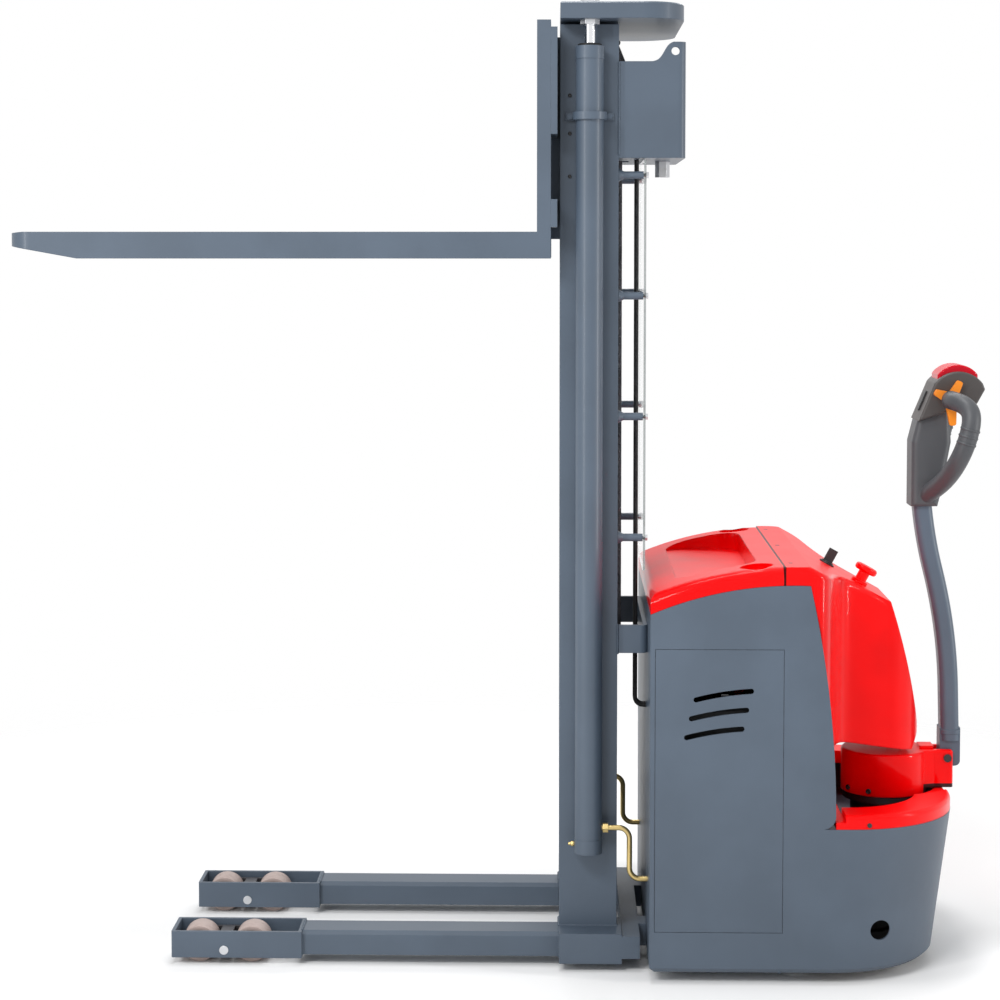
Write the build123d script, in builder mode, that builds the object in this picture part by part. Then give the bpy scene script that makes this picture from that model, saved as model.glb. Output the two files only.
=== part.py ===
"""Electric stacker: a walk-behind lift truck with a two-stage mast, in millimetres.

X runs along the truck (forks towards -X, tiller towards +X), Y across it and Z up from
the floor. The origin is on the floor, under the middle of the truck.
"""
from build123d import *
from math import atan2, cos, sin
import os

os.makedirs("parts", exist_ok=True)

# Overall layout
fork_length = 1150.0            # heel to tip
heel_to_head = 1010.0           # fork heel to the rearmost point of the tiller head
fork_tip_x = -(fork_length + heel_to_head) / 2
heel_x = fork_tip_x + fork_length

# Forks and carriage
fork_width = 175.0
fork_depth = 58.0
fork_plate = 6.0                # wall of the folded fork
fork_spacing = 395.0            # fork centre to fork centre
fork_top_z = 1625.0             # fork height as stored
fork_lowered_z = 90.0           # fork height on the floor
tip_solid = 60.0
tip_depth = 31.0
tip_taper = 150.0
shank_thickness = 30.0
shank_height = 455.0            # shank above the fork's top face
cross_plate = 14.0
upper_plate_height = 230.0
lower_plate_height = 60.0
cheek_thickness = 16.0          # carriage cheek between the inner rails
cheek_depth = 125.0

# Mast rails
mast_gap = 6.0                  # carriage cross plates to the rails' front face
rail_depth = 128.0
rail_web = 12.0
rail_flange = 12.0
outer_web_y = 217.0             # outer face of the outer rail's web
outer_flange_width = 62.0
rail_side_gap = 4.0             # between outer and inner rail
inner_flange_width = 55.0
cheek_gap = 12.0                # inner rail's flange to the carriage cheek
carriage_clearance = 3.0        # raised carriage to the head plate
head_gap = 7.0                  # outer rails to the head plate
head_plate_z = fork_top_z + shank_height + carriage_clearance
outer_mast_top = head_plate_z - head_gap
head_plate_thickness = 36.0
head_plate_rear = 142.0         # head plate behind the rails
head_plate_width = 570.0
inner_mast_foot_z = 95.0
roller_play = 0.5               # each side of a roller between the flanges
roller_width = 38.0
roller_stub_radius = 15.0
mast_stroke = 1400.0            # inner mast out of the outer mast
ram_guide = 254.0               # ram left in the barrel at full stroke

# Lift cylinders
cylinder_radius = 31.0
cylinder_offset = 35.0          # axis outside the rail's web
cylinder_bore = 27.0
cylinder_base_z = 258.0
cylinder_cap = 32.0
cylinder_drop = 85.0            # barrel below the head plate
cylinder_top_z = head_plate_z - cylinder_drop
gland_height = 28.0
ram_radius = 19.0
ram_play = 0.05                 # radial running fit in the gland and the bore
stud_radius = 12.0

# Legs and load rollers
foot_height = 67.0
ground_gap = 18.0
foot_rear = 10.0                # foot block behind the rails
foot_outer_y = 285.0
leg_beam_width = 90.0
leg_beam_bottom = 22.0
leg_top = 75.0
wheel_box_length = 290.0
wheel_box_width = 110.0
wheel_box_plate = 8.0
wheel_box_bottom = 16.0
leg_reach = 861.0               # wheel box front to the foot block
load_roller_radius = 40.0
load_roller_width = 62.0
load_roller_pitch = 117.0
bogie_plate = 6.0
bogie_side_play = 1.5
bogie_pin_radius = 10.0
bogie_pivot_z = 33.0
axle_radius = 8.0
running_play = 0.05             # radial clearance of axles and pins

# Chassis
chassis_gap = 67.0              # rails' rear face to the chassis front wall
chassis_length = 683.0
chassis_half_width = 367.0
chassis_wall = 6.0
chassis_bottom = 25.0
skirt_top = 341.0
skirt_corner = 250.0
skirt_draw = 42.0               # the skirt's rear draws in towards the floor
side_rear_lower = 400.0         # side wall's rear edge behind the front wall, at the skirt
side_rear_upper = 347.0         # the same at the wall's top corner
hood_front_z = 845.0
hood_middle_z = 889.0
hood_rear_z = 908.0
hood_lip = 40.0                 # red cover above the grey side wall
hood_length = 287.0
cover_wall = 4.0
cover_gap = 0.5

# Steering and tiller
deck_thickness = 15.0           # red deck under the tiller's sweep
rim_height = 30.0               # red rim beside it
steer_back = 130.0              # steering axis ahead of the skirt's rear end
drum_radius = 98.0
drum_bottom_z = 347.0
drum_top_z = 443.0
arm_reach = 153.0               # steering axis to the end of the arm
arm_half_width = 38.0
pivot_reach = 140.0
pivot_z = 425.0
pivot_radius = 9.0
drive_wheel_radius = 100.0
drive_wheel_width = 66.0
drive_wheel_lead = 22.0         # wheel ahead of the steering axis
caster_radius = 62.5
caster_width = 38.0
caster_trail = 34.0
caster_lead = 88.0              # caster axis ahead of the steering axis
caster_inset = 137.0            # caster axis inside the chassis side
caster_y = chassis_half_width - caster_inset
kingpin_radius = 10.0

# Stations worked out from the sizes above
fork_y = fork_spacing / 2
shank_rear_x = heel_x + shank_thickness
plate_rear_x = shank_rear_x + cross_plate
rail_front_x = plate_rear_x + mast_gap
rail_rear_x = rail_front_x + rail_depth
rail_x = (rail_front_x + rail_rear_x) / 2
outer_flange_y = outer_web_y - outer_flange_width
inner_web_y = outer_flange_y - rail_side_gap
inner_flange_y = inner_web_y - inner_flange_width
cheek_y = inner_flange_y - cheek_gap
cylinder_y = outer_web_y + cylinder_offset
foot_top = ground_gap + foot_height
front_x = rail_rear_x + chassis_gap
chassis_rear_x = front_x + chassis_length
steer_x = chassis_rear_x - steer_back
pivot_x = steer_x + pivot_reach
caster_x = steer_x - caster_lead
leg_front_x = rail_front_x - leg_reach
bogie_x = leg_front_x + load_roller_pitch
carriage_travel = fork_top_z - fork_lowered_z
rod_travel = carriage_travel / 2
sides = (("near", -1), ("far", 1))


# Base legs: a beam with an open wheel box at its front end
box_rear_x = leg_front_x + wheel_box_length
beam_bevel = 8.0
leg_parts = {}
for side, sign in sides:
    with BuildPart() as leg:
        with BuildSketch(Plane.XY.offset(wheel_box_bottom)):
            with Locations((leg_front_x + wheel_box_length / 2, sign * fork_y)):
                Rectangle(wheel_box_length, wheel_box_width)
                Rectangle(
                    wheel_box_length - 2 * wheel_box_plate,
                    wheel_box_width - 2 * wheel_box_plate,
                    mode=Mode.SUBTRACT,
                )
        extrude(amount=leg_top - wheel_box_bottom)
        box_corners = leg.edges().filter_by(Axis.Z).group_by(Axis.X)[0]
        fillet(box_corners, radius=wheel_box_plate / 2)
        with BuildSketch(Plane.YZ.offset(box_rear_x)):
            with Locations((sign * fork_y, (leg_beam_bottom + leg_top) / 2)):
                beam_face = Rectangle(leg_beam_width, leg_top - leg_beam_bottom)
            chamfer(beam_face.vertices().group_by(Axis.Y)[-1], length=beam_bevel)
        extrude(amount=rail_front_x - box_rear_x)
        with BuildSketch(Plane.XZ):
            with Locations((bogie_x, bogie_pivot_z)):
                Circle(bogie_pin_radius)
        extrude(amount=foot_outer_y, both=True, mode=Mode.SUBTRACT)
    leg_parts[side] = leg

with BuildPart() as base_legs:
    for leg in leg_parts.values():
        add(leg.part)

# Bogies: two rocker plates round a centre block, one on each leg
bogie_inner = load_roller_width / 2 + bogie_side_play
bogie_outer = bogie_inner + bogie_plate
bogie_height = 46.0
bogie_block = load_roller_pitch - 2 * load_roller_radius - 9.0
roller_dx = load_roller_pitch / 2
bogie_parts = {}
for side, sign in sides:
    with BuildPart() as bogie:
        with BuildSketch(Plane.XZ.offset(-sign * fork_y - bogie_inner)):
            with Locations((bogie_x, load_roller_radius)):
                SlotCenterToCenter(load_roller_pitch, bogie_height)
        extrude(amount=-bogie_plate)
        with BuildSketch(Plane.XZ.offset(-sign * fork_y + bogie_inner)):
            with Locations((bogie_x, load_roller_radius)):
                SlotCenterToCenter(load_roller_pitch, bogie_height)
        extrude(amount=bogie_plate)
        with BuildSketch(Plane.XZ.offset(-sign * fork_y - bogie_inner)):
            with Locations((bogie_x, load_roller_radius)):
                Rectangle(bogie_block, bogie_height)
        extrude(amount=2 * bogie_inner)
        with BuildSketch(Plane.XZ):
            with Locations((bogie_x, bogie_pivot_z)):
                Circle(bogie_pin_radius + running_play)
        extrude(amount=foot_outer_y, both=True, mode=Mode.SUBTRACT)
        with BuildSketch(Plane.XZ.offset(-sign * fork_y)):
            with Locations([(bogie_x + dx, load_roller_radius) for dx in (-roller_dx, roller_dx)]):
                Circle(axle_radius)
        extrude(amount=bogie_outer, both=True)
    bogie_parts[side] = bogie

# Bogie pins: through both plates of each wheel box
with BuildPart() as bogie_pins:
    for side, sign in sides:
        with BuildSketch(Plane.XZ.offset(-sign * fork_y)):
            with Locations((bogie_x, bogie_pivot_z)):
                Circle(bogie_pin_radius)
        extrude(amount=wheel_box_width / 2 + 1.0, both=True)

# Load rollers: tandem pairs, each bored for its axle
roller_rim = 6.0
roller_parts = {}
for side, sign in sides:
    for place, step in (("front", -1), ("rear", 1)):
        with BuildPart() as load_roller:
            with BuildSketch(Plane.XZ.offset(-sign * fork_y - load_roller_width / 2)):
                with Locations((bogie_x + step * roller_dx, load_roller_radius)):
                    Circle(load_roller_radius)
                    Circle(axle_radius + running_play, mode=Mode.SUBTRACT)
            extrude(amount=load_roller_width)
            rims = load_roller.edges().filter_by(GeomType.CIRCLE)
            fillet(rims.filter_by(lambda e: e.radius > load_roller_radius - 1), radius=roller_rim)
        roller_parts[f"load_roller_{side}_{place}"] = load_roller

# Outer mast rails: two channels that open towards each other
with BuildPart() as outer_mast_rails:
    with BuildSketch(Plane.XY.offset(foot_top)):
        with Locations((rail_x, -(outer_web_y + outer_flange_y) / 2)):
            Rectangle(rail_depth, outer_flange_width)
        with Locations((rail_x, -(outer_flange_y + outer_web_y - rail_web) / 2)):
            Rectangle(rail_depth - 2 * rail_flange, outer_flange_width - rail_web, mode=Mode.SUBTRACT)
    extrude(amount=outer_mast_top - foot_top)
    mirror(about=Plane.XZ)

# Top tie: a bent plate behind the rails, with a lifting hole in each ear
tie_plate = 10.0
tie_length = 146.0
tie_bend = 16.0
tie_ear_drop = 38.0             # lifting ears below the outer rails' top
tie_ear_height = 42.0
tie_height = 210.0              # up to its shoulder
tie_ear_top = outer_mast_top - tie_ear_drop
tie_shoulder = tie_ear_top - tie_ear_height
tie_bottom = tie_shoulder - tie_height
ear_length = 27.0
ear_slope = 49.0
ear_width = 30.0
lift_hole_radius = 9.0
lift_hole_back = 23.0
lift_hole_drop = 20.0
chain_notch = 28.0              # lets the chain and its anchor pass the tie's bottom plate
chain_notch_width = 80.0
tie_rear_x = rail_rear_x + tie_length
with BuildPart() as mast_top_tie:
    with BuildSketch(Plane.XY.offset(tie_bottom)):
        with Locations((rail_rear_x + tie_length / 2, 0)):
            tie_face = Rectangle(tie_length, 2 * outer_web_y)
        fillet(tie_face.vertices().group_by(Axis.X)[-1], radius=tie_bend)
    extrude(amount=tie_ear_top - tie_bottom)
    with BuildSketch(Plane.XY.offset(tie_bottom + tie_plate)):
        with Locations((rail_rear_x + (tie_length - tie_plate) / 2, 0)):
            tie_core = Rectangle(tie_length - tie_plate, 2 * (outer_web_y - tie_plate))
        fillet(tie_core.vertices().group_by(Axis.X)[-1], radius=tie_bend - tie_plate)
    extrude(amount=tie_ear_top, mode=Mode.SUBTRACT)
    with BuildSketch(Plane.XZ):
        with BuildLine():
            shoulder = Line(
                (rail_rear_x, tie_shoulder),
                (tie_rear_x - ear_length - ear_slope, tie_shoulder),
            )
            rise = Spline(
                shoulder @ 1,
                (tie_rear_x - ear_length, tie_ear_top),
                tangents=((1, 0), (1, 0.25)),
            )
            Polyline(rise @ 1, (rail_rear_x, tie_ear_top), shoulder @ 0)
        make_face()
    extrude(amount=outer_web_y, both=True, mode=Mode.SUBTRACT)
    with Locations((tie_rear_x, 0, (tie_shoulder + tie_ear_top) / 2)):
        Box(4 * tie_plate, 2 * (outer_web_y - ear_width), tie_ear_top - tie_shoulder, mode=Mode.SUBTRACT)
    with BuildSketch(Plane.XZ):
        with Locations((tie_rear_x - lift_hole_back, tie_ear_top - lift_hole_drop)):
            Circle(lift_hole_radius)
    extrude(amount=outer_web_y, both=True, mode=Mode.SUBTRACT)
    with Locations((rail_rear_x + chain_notch / 2, 0, tie_bottom + tie_plate / 2)):
        Box(chain_notch, chain_notch_width, tie_plate, mode=Mode.SUBTRACT)

# Mast ties: feet under the rails, a cross tube to the chassis and the bent mid tie
mid_tie_bottom = 696.0
mid_tie_height = 62.0
cross_tube_depth = 40.0
cross_tube_bottom = 30.0
cross_tube_height = 50.0
tie_block_width = 60.0
tube_x = rail_rear_x + foot_rear + cross_tube_depth / 2
tube_rear_x = tube_x + cross_tube_depth / 2
with BuildPart() as mast_ties:
    with BuildSketch(Plane.XY.offset(ground_gap)):
        with Locations((rail_x + foot_rear / 2, -(foot_outer_y + outer_flange_y) / 2)):
            Rectangle(rail_depth + foot_rear, foot_outer_y - outer_flange_y)
    extrude(amount=foot_height)
    with Locations(((tube_rear_x + front_x) / 2, -outer_flange_y, cross_tube_bottom + cross_tube_height / 2)):
        Box(front_x - tube_rear_x, tie_block_width, cross_tube_height)
    mirror(about=Plane.XZ)
    with Locations((tube_x, 0, cross_tube_bottom + cross_tube_height / 2)):
        Box(cross_tube_depth, 2 * foot_outer_y, cross_tube_height)
    with BuildSketch(Plane.XY.offset(mid_tie_bottom)):
        with Locations(((rail_rear_x + front_x) / 2, 0)):
            mid_face = Rectangle(chassis_gap, 2 * outer_web_y)
        fillet(mid_face.vertices().group_by(Axis.X)[-1], radius=tie_bend)
        with Locations(((rail_rear_x + front_x - tie_plate) / 2, 0)):
            Rectangle(chassis_gap - tie_plate, 2 * (outer_web_y - tie_plate), mode=Mode.SUBTRACT)
    extrude(amount=mid_tie_height)

# Side lift cylinders: barrel, gland and a square end cap against the rail
with BuildPart() as lift_cylinders:
    with BuildSketch(Plane.XY.offset(cylinder_base_z)):
        with Locations((rail_x, -cylinder_y)):
            Circle(cylinder_radius)
        with Locations((rail_x, -(cylinder_y + outer_web_y) / 2)):
            Rectangle(2 * cylinder_radius - 8, cylinder_offset)
    extrude(amount=cylinder_cap)
    with BuildSketch(Plane.XY.offset(cylinder_base_z + cylinder_cap)):
        with Locations((rail_x, -cylinder_y)):
            Circle(cylinder_radius - 1)
            Circle(cylinder_bore, mode=Mode.SUBTRACT)
    extrude(amount=cylinder_top_z - cylinder_base_z - cylinder_cap)
    with BuildSketch(Plane.XY.offset(cylinder_top_z)):
        with Locations((rail_x, -cylinder_y)):
            Circle(cylinder_radius)
            Circle(ram_radius + ram_play, mode=Mode.SUBTRACT)
    extrude(amount=gland_height)
    mirror(about=Plane.XZ)

# Cylinder clamps: a strap round each barrel with an ear on both sides
clamp_drop = 131.0              # clamp below the barrel's top
clamp_z = cylinder_top_z - clamp_drop
clamp_height = 17.0
clamp_strap = 6.0
clamp_half_length = 53.0
clamp_bolt_dx = 43.0
clamp_grip = 0.2
with BuildPart() as cylinder_clamps:
    with BuildSketch(Plane.XY.offset(clamp_z)):
        with Locations((rail_x, -cylinder_y)):
            Circle(cylinder_radius + clamp_strap)
        with Locations((rail_x, -outer_web_y - clamp_strap / 2)):
            Rectangle(2 * clamp_half_length, clamp_strap)
        with Locations((rail_x, -(cylinder_y + outer_web_y) / 2)):
            Rectangle(2 * cylinder_radius, cylinder_offset)
        with Locations((rail_x, -cylinder_y)):
            Circle(cylinder_radius - 1 + clamp_grip, mode=Mode.SUBTRACT)
        with Locations((rail_x, -outer_web_y / 2)):
            Rectangle(4 * cylinder_radius, outer_web_y, mode=Mode.SUBTRACT)
    extrude(amount=clamp_height)
    mirror(about=Plane.XZ)

# Guard: a clear panel on round bars that stand off the rails
guard_x = front_x - 12.0         # its bolts clear the battery cover as it lifts
guard_thickness = 5.0
guard_half_width = 235.0
guard_bottom = 880.0
guard_head_gap = 4.0            # panel to the top tie
guard_top = tie_bottom - guard_head_gap
guard_bar_radius = 8.5
guard_bar_y = 200.0
guard_bar_heights = (951.0, 1219.0, 1485.0, 1749.0)
guard_weld_radius = 15.0
guard_weld_length = 12.0
guard_hole_radius = 4.0
with BuildPart() as guard_panel:
    with Locations((guard_x + guard_thickness / 2, 0, (guard_bottom + guard_top) / 2)):
        Box(guard_thickness, 2 * guard_half_width, guard_top - guard_bottom)
    fillet(guard_panel.edges().filter_by(Axis.X), radius=20)
    with BuildSketch(Plane.YZ.offset(guard_x)):
        for height in guard_bar_heights:
            with Locations((-guard_bar_y, height), (guard_bar_y, height)):
                Circle(guard_hole_radius)
    extrude(amount=guard_thickness, mode=Mode.SUBTRACT)

with BuildPart() as guard_brackets:
    for height in guard_bar_heights:
        with BuildSketch(Plane.YZ.offset(rail_rear_x)):
            with Locations((-guard_bar_y, height)):
                Circle(guard_weld_radius)
        with BuildSketch(Plane.YZ.offset(rail_rear_x + guard_weld_length)):
            with Locations((-guard_bar_y, height)):
                Circle(guard_bar_radius)
        loft()
        with BuildSketch(Plane.YZ.offset(rail_rear_x + guard_weld_length)):
            with Locations((-guard_bar_y, height)):
                Circle(guard_bar_radius)
        extrude(amount=guard_x - rail_rear_x - guard_weld_length)
    mirror(about=Plane.XZ)

# Hex bolts: the guard's bolts and the clamps' bolts
hex_across = 13.0
hex_height = 6.0
with BuildPart() as hex_bolts:
    with BuildSketch(Plane.YZ.offset(guard_x + guard_thickness)):
        for height in guard_bar_heights:
            with Locations((-guard_bar_y, height)):
                RegularPolygon(hex_across / 2, 6, major_radius=False)
    extrude(amount=hex_height)
    with BuildSketch(Plane.YZ.offset(guard_x)):
        for height in guard_bar_heights:
            with Locations((-guard_bar_y, height)):
                Circle(guard_hole_radius - running_play)
    extrude(amount=guard_thickness)
    with BuildSketch(Plane.XZ.offset(outer_web_y + clamp_strap)):
        for step in (-clamp_bolt_dx, clamp_bolt_dx):
            with Locations((rail_x + step, clamp_z + clamp_height / 2)):
                RegularPolygon(hex_across / 2, 6, major_radius=False)
    extrude(amount=hex_height)
    mirror(about=Plane.XZ)

# Lift pipes: an elbow from each cylinder's foot into the chassis wall
pipe_radius = 6.0
pipe_z = 314.0
pipe_low_z = 200.0
pipe_down_x = front_x - 40.0
pipe_bend = 24.0
nut_radius = 11.0
nut_length = 12.0
fitting_radius = 16.5
fitting_drop = 36.0
fitting_back = 41.0
with BuildPart() as lift_pipes:
    with BuildLine(Plane.XZ.offset(cylinder_y)):
        FilletPolyline(
            (rail_x + cylinder_radius - 1, pipe_z),
            (pipe_down_x, pipe_z),
            (pipe_down_x, pipe_low_z),
            (front_x, pipe_low_z),
            radius=pipe_bend,
        )
    with BuildSketch(Plane.YZ.offset(rail_x + cylinder_radius - 1)):
        with Locations((-cylinder_y, pipe_z)):
            Circle(pipe_radius)
    sweep()
    with BuildSketch(Plane.YZ.offset(rail_x + cylinder_radius + 1)):
        with Locations((-cylinder_y, pipe_z)):
            RegularPolygon(nut_radius, 6)
    extrude(amount=nut_length)
    mirror(about=Plane.XZ)
    with BuildSketch(Plane.XY.offset(tie_bottom - fitting_drop)):
        with Locations((tie_rear_x - fitting_back, 0)):
            RegularPolygon(fitting_radius, 6)
    extrude(amount=fitting_drop)

# Mast hoses: a pair that runs from the top tie down into the chassis wall
hose_radius = 5.0
hose_x = front_x - 24.0
hose_y = (-112.0, -96.0)
hose_low_z = 560.0
hose_bend = 18.0
with BuildPart() as mast_hoses:
    for y in hose_y:
        with BuildLine(Plane.XZ.offset(-y)):
            FilletPolyline(
                (hose_x, tie_bottom),
                (hose_x, hose_low_z),
                (front_x, hose_low_z),
                radius=hose_bend,
            )
        with BuildSketch(Plane.XY.offset(tie_bottom)):
            with Locations((hose_x, y)):
                Circle(hose_radius)
        sweep()

# Free lift: a centre cylinder on the inner mast, its rod, crosshead and chain sheave
lift_x = rail_x + 22.0
lift_barrel_radius = 30.0
lift_bore = 22.0
lift_rod_radius = 17.0
lift_piston_height = 30.0
lift_piston_drop = 55.0         # piston below the barrel's top when the rod is out
crosshead_drop = 123.0          # raised crosshead below the head plate
crosshead_z = head_plate_z - crosshead_drop
landing_gap = 2.5               # crosshead above the barrel with the carriage down
lift_barrel_top = crosshead_z - rod_travel - landing_gap
crosshead_plate = 6.0
crosshead_half_width = 32.0
sheave_rise = 60.0              # sheave axis above the crosshead's foot
sheave_z = crosshead_z + sheave_rise
sheave_radius = 44.0            # seat of the chain
sheave_flange = 50.0
sheave_width = 34.0
sheave_pin_radius = 10.0
chain_thickness = 12.0
chain_width = 24.0
chain_anchor_z = 700.0
anchor_height = 20.0
chain_radius = sheave_radius + chain_thickness / 2
chain_front_x = lift_x - chain_radius
chain_rear_x = lift_x + chain_radius
seat_thickness = 15.0
inner_tie_thickness = 8.0
inner_tie_height = 80.0

# Inner mast: two channels joined by a foot tie that seats the free-lift cylinder
with BuildPart() as inner_mast_rails:
    with BuildSketch(Plane.XY.offset(inner_mast_foot_z)):
        with Locations((rail_x, -(inner_web_y + inner_flange_y) / 2)):
            Rectangle(rail_depth, inner_flange_width)
        with Locations((rail_x, -(inner_flange_y + inner_web_y - rail_web) / 2)):
            Rectangle(rail_depth - 2 * rail_flange, inner_flange_width - rail_web, mode=Mode.SUBTRACT)
    extrude(amount=head_plate_z - inner_mast_foot_z)
    mirror(about=Plane.XZ)
    with Locations((rail_rear_x - inner_tie_thickness / 2, 0, inner_mast_foot_z + inner_tie_height / 2)):
        Box(inner_tie_thickness, 2 * inner_web_y, inner_tie_height)
    with Locations((lift_x, 0, inner_mast_foot_z + seat_thickness / 2)):
        Box(2 * (rail_rear_x - lift_x), 2 * lift_barrel_radius + 10, seat_thickness)

# Mast head plate over both rails and both rams
head_corner = 90.0
head_length = rail_depth + head_plate_rear
with BuildPart() as mast_head_plate:
    with BuildSketch(Plane.XY.offset(head_plate_z)):
        with Locations((rail_front_x + head_length / 2, 0)):
            head_face = Rectangle(head_length, head_plate_width)
        fillet(head_face.vertices().group_by(Axis.X)[-1], radius=head_corner)
        with Locations((rail_x, -cylinder_y), (rail_x, cylinder_y)):
            Circle(stud_radius, mode=Mode.SUBTRACT)
    extrude(amount=head_plate_thickness)
    chamfer(mast_head_plate.faces().sort_by(Axis.Z)[-1].outer_wire().edges(), length=3)

# Cylinder rams: piston, ram and threaded stud through the head plate
ram_foot_z = cylinder_top_z - mast_stroke - ram_guide
piston_height = 24.0
gland_top_z = cylinder_top_z + gland_height
with BuildPart() as cylinder_rods:
    with BuildSketch(Plane.XY.offset(ram_foot_z)):
        with Locations((rail_x, -cylinder_y)):
            Circle(cylinder_bore - ram_play)
    extrude(amount=piston_height)
    with BuildSketch(Plane.XY.offset(ram_foot_z + piston_height)):
        with Locations((rail_x, -cylinder_y)):
            Circle(ram_radius)
    extrude(amount=gland_top_z + 2 - ram_foot_z - piston_height)
    with BuildSketch(Plane.XY.offset(gland_top_z + 2)):
        with Locations((rail_x, -cylinder_y)):
            Circle(stud_radius)
    extrude(amount=head_plate_z + head_plate_thickness - gland_top_z - 2)
    mirror(about=Plane.XZ)

# Rod nuts: a cap nut on the head plate and a lock nut below it
cap_nut_across = 36.0
cap_nut_height = 11.0
with BuildPart() as rod_nuts:
    with BuildSketch(Plane.XY.offset(head_plate_z + head_plate_thickness)):
        with Locations((rail_x, -cylinder_y)):
            RegularPolygon(cap_nut_across / 2, 6, major_radius=False)
    extrude(amount=cap_nut_height)
    with BuildSketch(Plane.XY.offset(head_plate_z - cap_nut_height)):
        with Locations((rail_x, -cylinder_y)):
            RegularPolygon(cap_nut_across / 2, 6, major_radius=False)
            Circle(stud_radius, mode=Mode.SUBTRACT)
    extrude(amount=cap_nut_height)
    mirror(about=Plane.XZ)

# Mast rollers: on stubs at the inner rails' feet, in the outer channels
roller_radius = rail_depth / 2 - rail_flange - roller_play
mast_roller_heights = (165.0, 465.0)
mast_roller_gap = 3.0
with BuildPart() as inner_mast_rollers:
    with BuildSketch(Plane.XZ.offset(inner_web_y)):
        for height in mast_roller_heights:
            with Locations((rail_x, height)):
                Circle(roller_stub_radius)
    extrude(amount=rail_side_gap + mast_roller_gap)
    with BuildSketch(Plane.XZ.offset(outer_flange_y + mast_roller_gap)):
        for height in mast_roller_heights:
            with Locations((rail_x, height)):
                Circle(roller_radius)
    extrude(amount=roller_width)
    mirror(about=Plane.XZ)

# Free-lift cylinder with the chain anchor on its barrel
barrel_foot_z = inner_mast_foot_z + seat_thickness
with BuildPart() as free_lift_cylinder:
    with BuildSketch(Plane.XY.offset(barrel_foot_z)):
        with Locations((lift_x, 0)):
            Circle(lift_barrel_radius)
    extrude(amount=lift_barrel_top - barrel_foot_z)
    with Locations(((lift_x + chain_rear_x) / 2, 0, chain_anchor_z - anchor_height / 2)):
        Box(chain_rear_x - lift_x + chain_thickness, chain_width, anchor_height)
    with BuildSketch(Plane.XY.offset(barrel_foot_z + seat_thickness)):
        with Locations((lift_x, 0)):
            Circle(lift_bore)
    extrude(amount=lift_barrel_top - barrel_foot_z - 2 * seat_thickness, mode=Mode.SUBTRACT)
    with BuildSketch(Plane.XY.offset(lift_barrel_top - seat_thickness)):
        with Locations((lift_x, 0)):
            Circle(lift_rod_radius + ram_play)
    extrude(amount=seat_thickness, mode=Mode.SUBTRACT)

piston_z = lift_barrel_top - lift_piston_drop - lift_piston_height
with BuildPart() as free_lift_rod:
    with BuildSketch(Plane.XY.offset(piston_z)):
        with Locations((lift_x, 0)):
            Circle(lift_bore - ram_play)
    extrude(amount=lift_piston_height)
    with BuildSketch(Plane.XY.offset(piston_z + lift_piston_height)):
        with Locations((lift_x, 0)):
            Circle(lift_rod_radius)
    extrude(amount=crosshead_z - piston_z - lift_piston_height)

# Crosshead: a yoke on the rod, with the sheave's pin
yoke_length = 60.0
yoke_top = sheave_z + 22.0
with BuildPart() as crosshead:
    with Locations((lift_x, 0, (crosshead_z + yoke_top) / 2)):
        Box(yoke_length, 2 * crosshead_half_width, yoke_top - crosshead_z)
    fillet(crosshead.edges().filter_by(Axis.Y).group_by(Axis.Z)[-1], radius=20)
    with BuildSketch(Plane.XZ.offset(-sheave_width / 2 - 1)):
        with Locations((lift_x, sheave_z)):
            Circle(sheave_z - crosshead_z - crosshead_plate)
    extrude(amount=sheave_width + 2, mode=Mode.SUBTRACT)
    with Locations((lift_x, 0, crosshead_z + crosshead_plate / 2)):
        Box(yoke_length, 2 * crosshead_half_width, crosshead_plate)
    with BuildSketch(Plane.XZ):
        with Locations((lift_x, sheave_z)):
            Circle(sheave_pin_radius)
    extrude(amount=crosshead_half_width, both=True)

with BuildPart() as chain_sheave:
    with BuildSketch(Plane.XZ.offset(-sheave_width / 2)):
        with Locations((lift_x, sheave_z)):
            Circle(sheave_flange)
    extrude(amount=sheave_width)
    with BuildSketch(Plane.XZ.offset(-chain_width / 2 - 1)):
        with Locations((lift_x, sheave_z)):
            Circle(sheave_flange)
            Circle(sheave_radius - 0.4, mode=Mode.SUBTRACT)
    extrude(amount=chain_width + 2, mode=Mode.SUBTRACT)
    with BuildSketch(Plane.XZ.offset(-sheave_width / 2)):
        with Locations((lift_x, sheave_z)):
            Circle(sheave_pin_radius + running_play)
    extrude(amount=sheave_width, mode=Mode.SUBTRACT)

# Lift chain: the turn over the sheave, the anchored rear strand and the carriage strand
with BuildPart() as lift_chain_turn:
    with BuildSketch(Plane.XZ.offset(-chain_width / 2)):
        with Locations((lift_x, sheave_z)):
            Circle(sheave_radius + chain_thickness)
            Circle(sheave_radius, mode=Mode.SUBTRACT)
        with Locations((lift_x, sheave_z - sheave_flange)):
            Rectangle(3 * sheave_flange, 2 * sheave_flange, mode=Mode.SUBTRACT)
    extrude(amount=chain_width)

with BuildPart() as lift_chain_rear:
    with Locations((chain_rear_x, 0, (chain_anchor_z + sheave_z) / 2)):
        Box(chain_thickness, chain_width, sheave_z - chain_anchor_z)

carriage_anchor_rise = 300.0
carriage_anchor_z = fork_top_z + carriage_anchor_rise
with BuildPart() as lift_chain_front:
    with Locations((chain_front_x, 0, (carriage_anchor_z + sheave_z) / 2)):
        Box(chain_thickness, chain_width, sheave_z - carriage_anchor_z)

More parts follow.
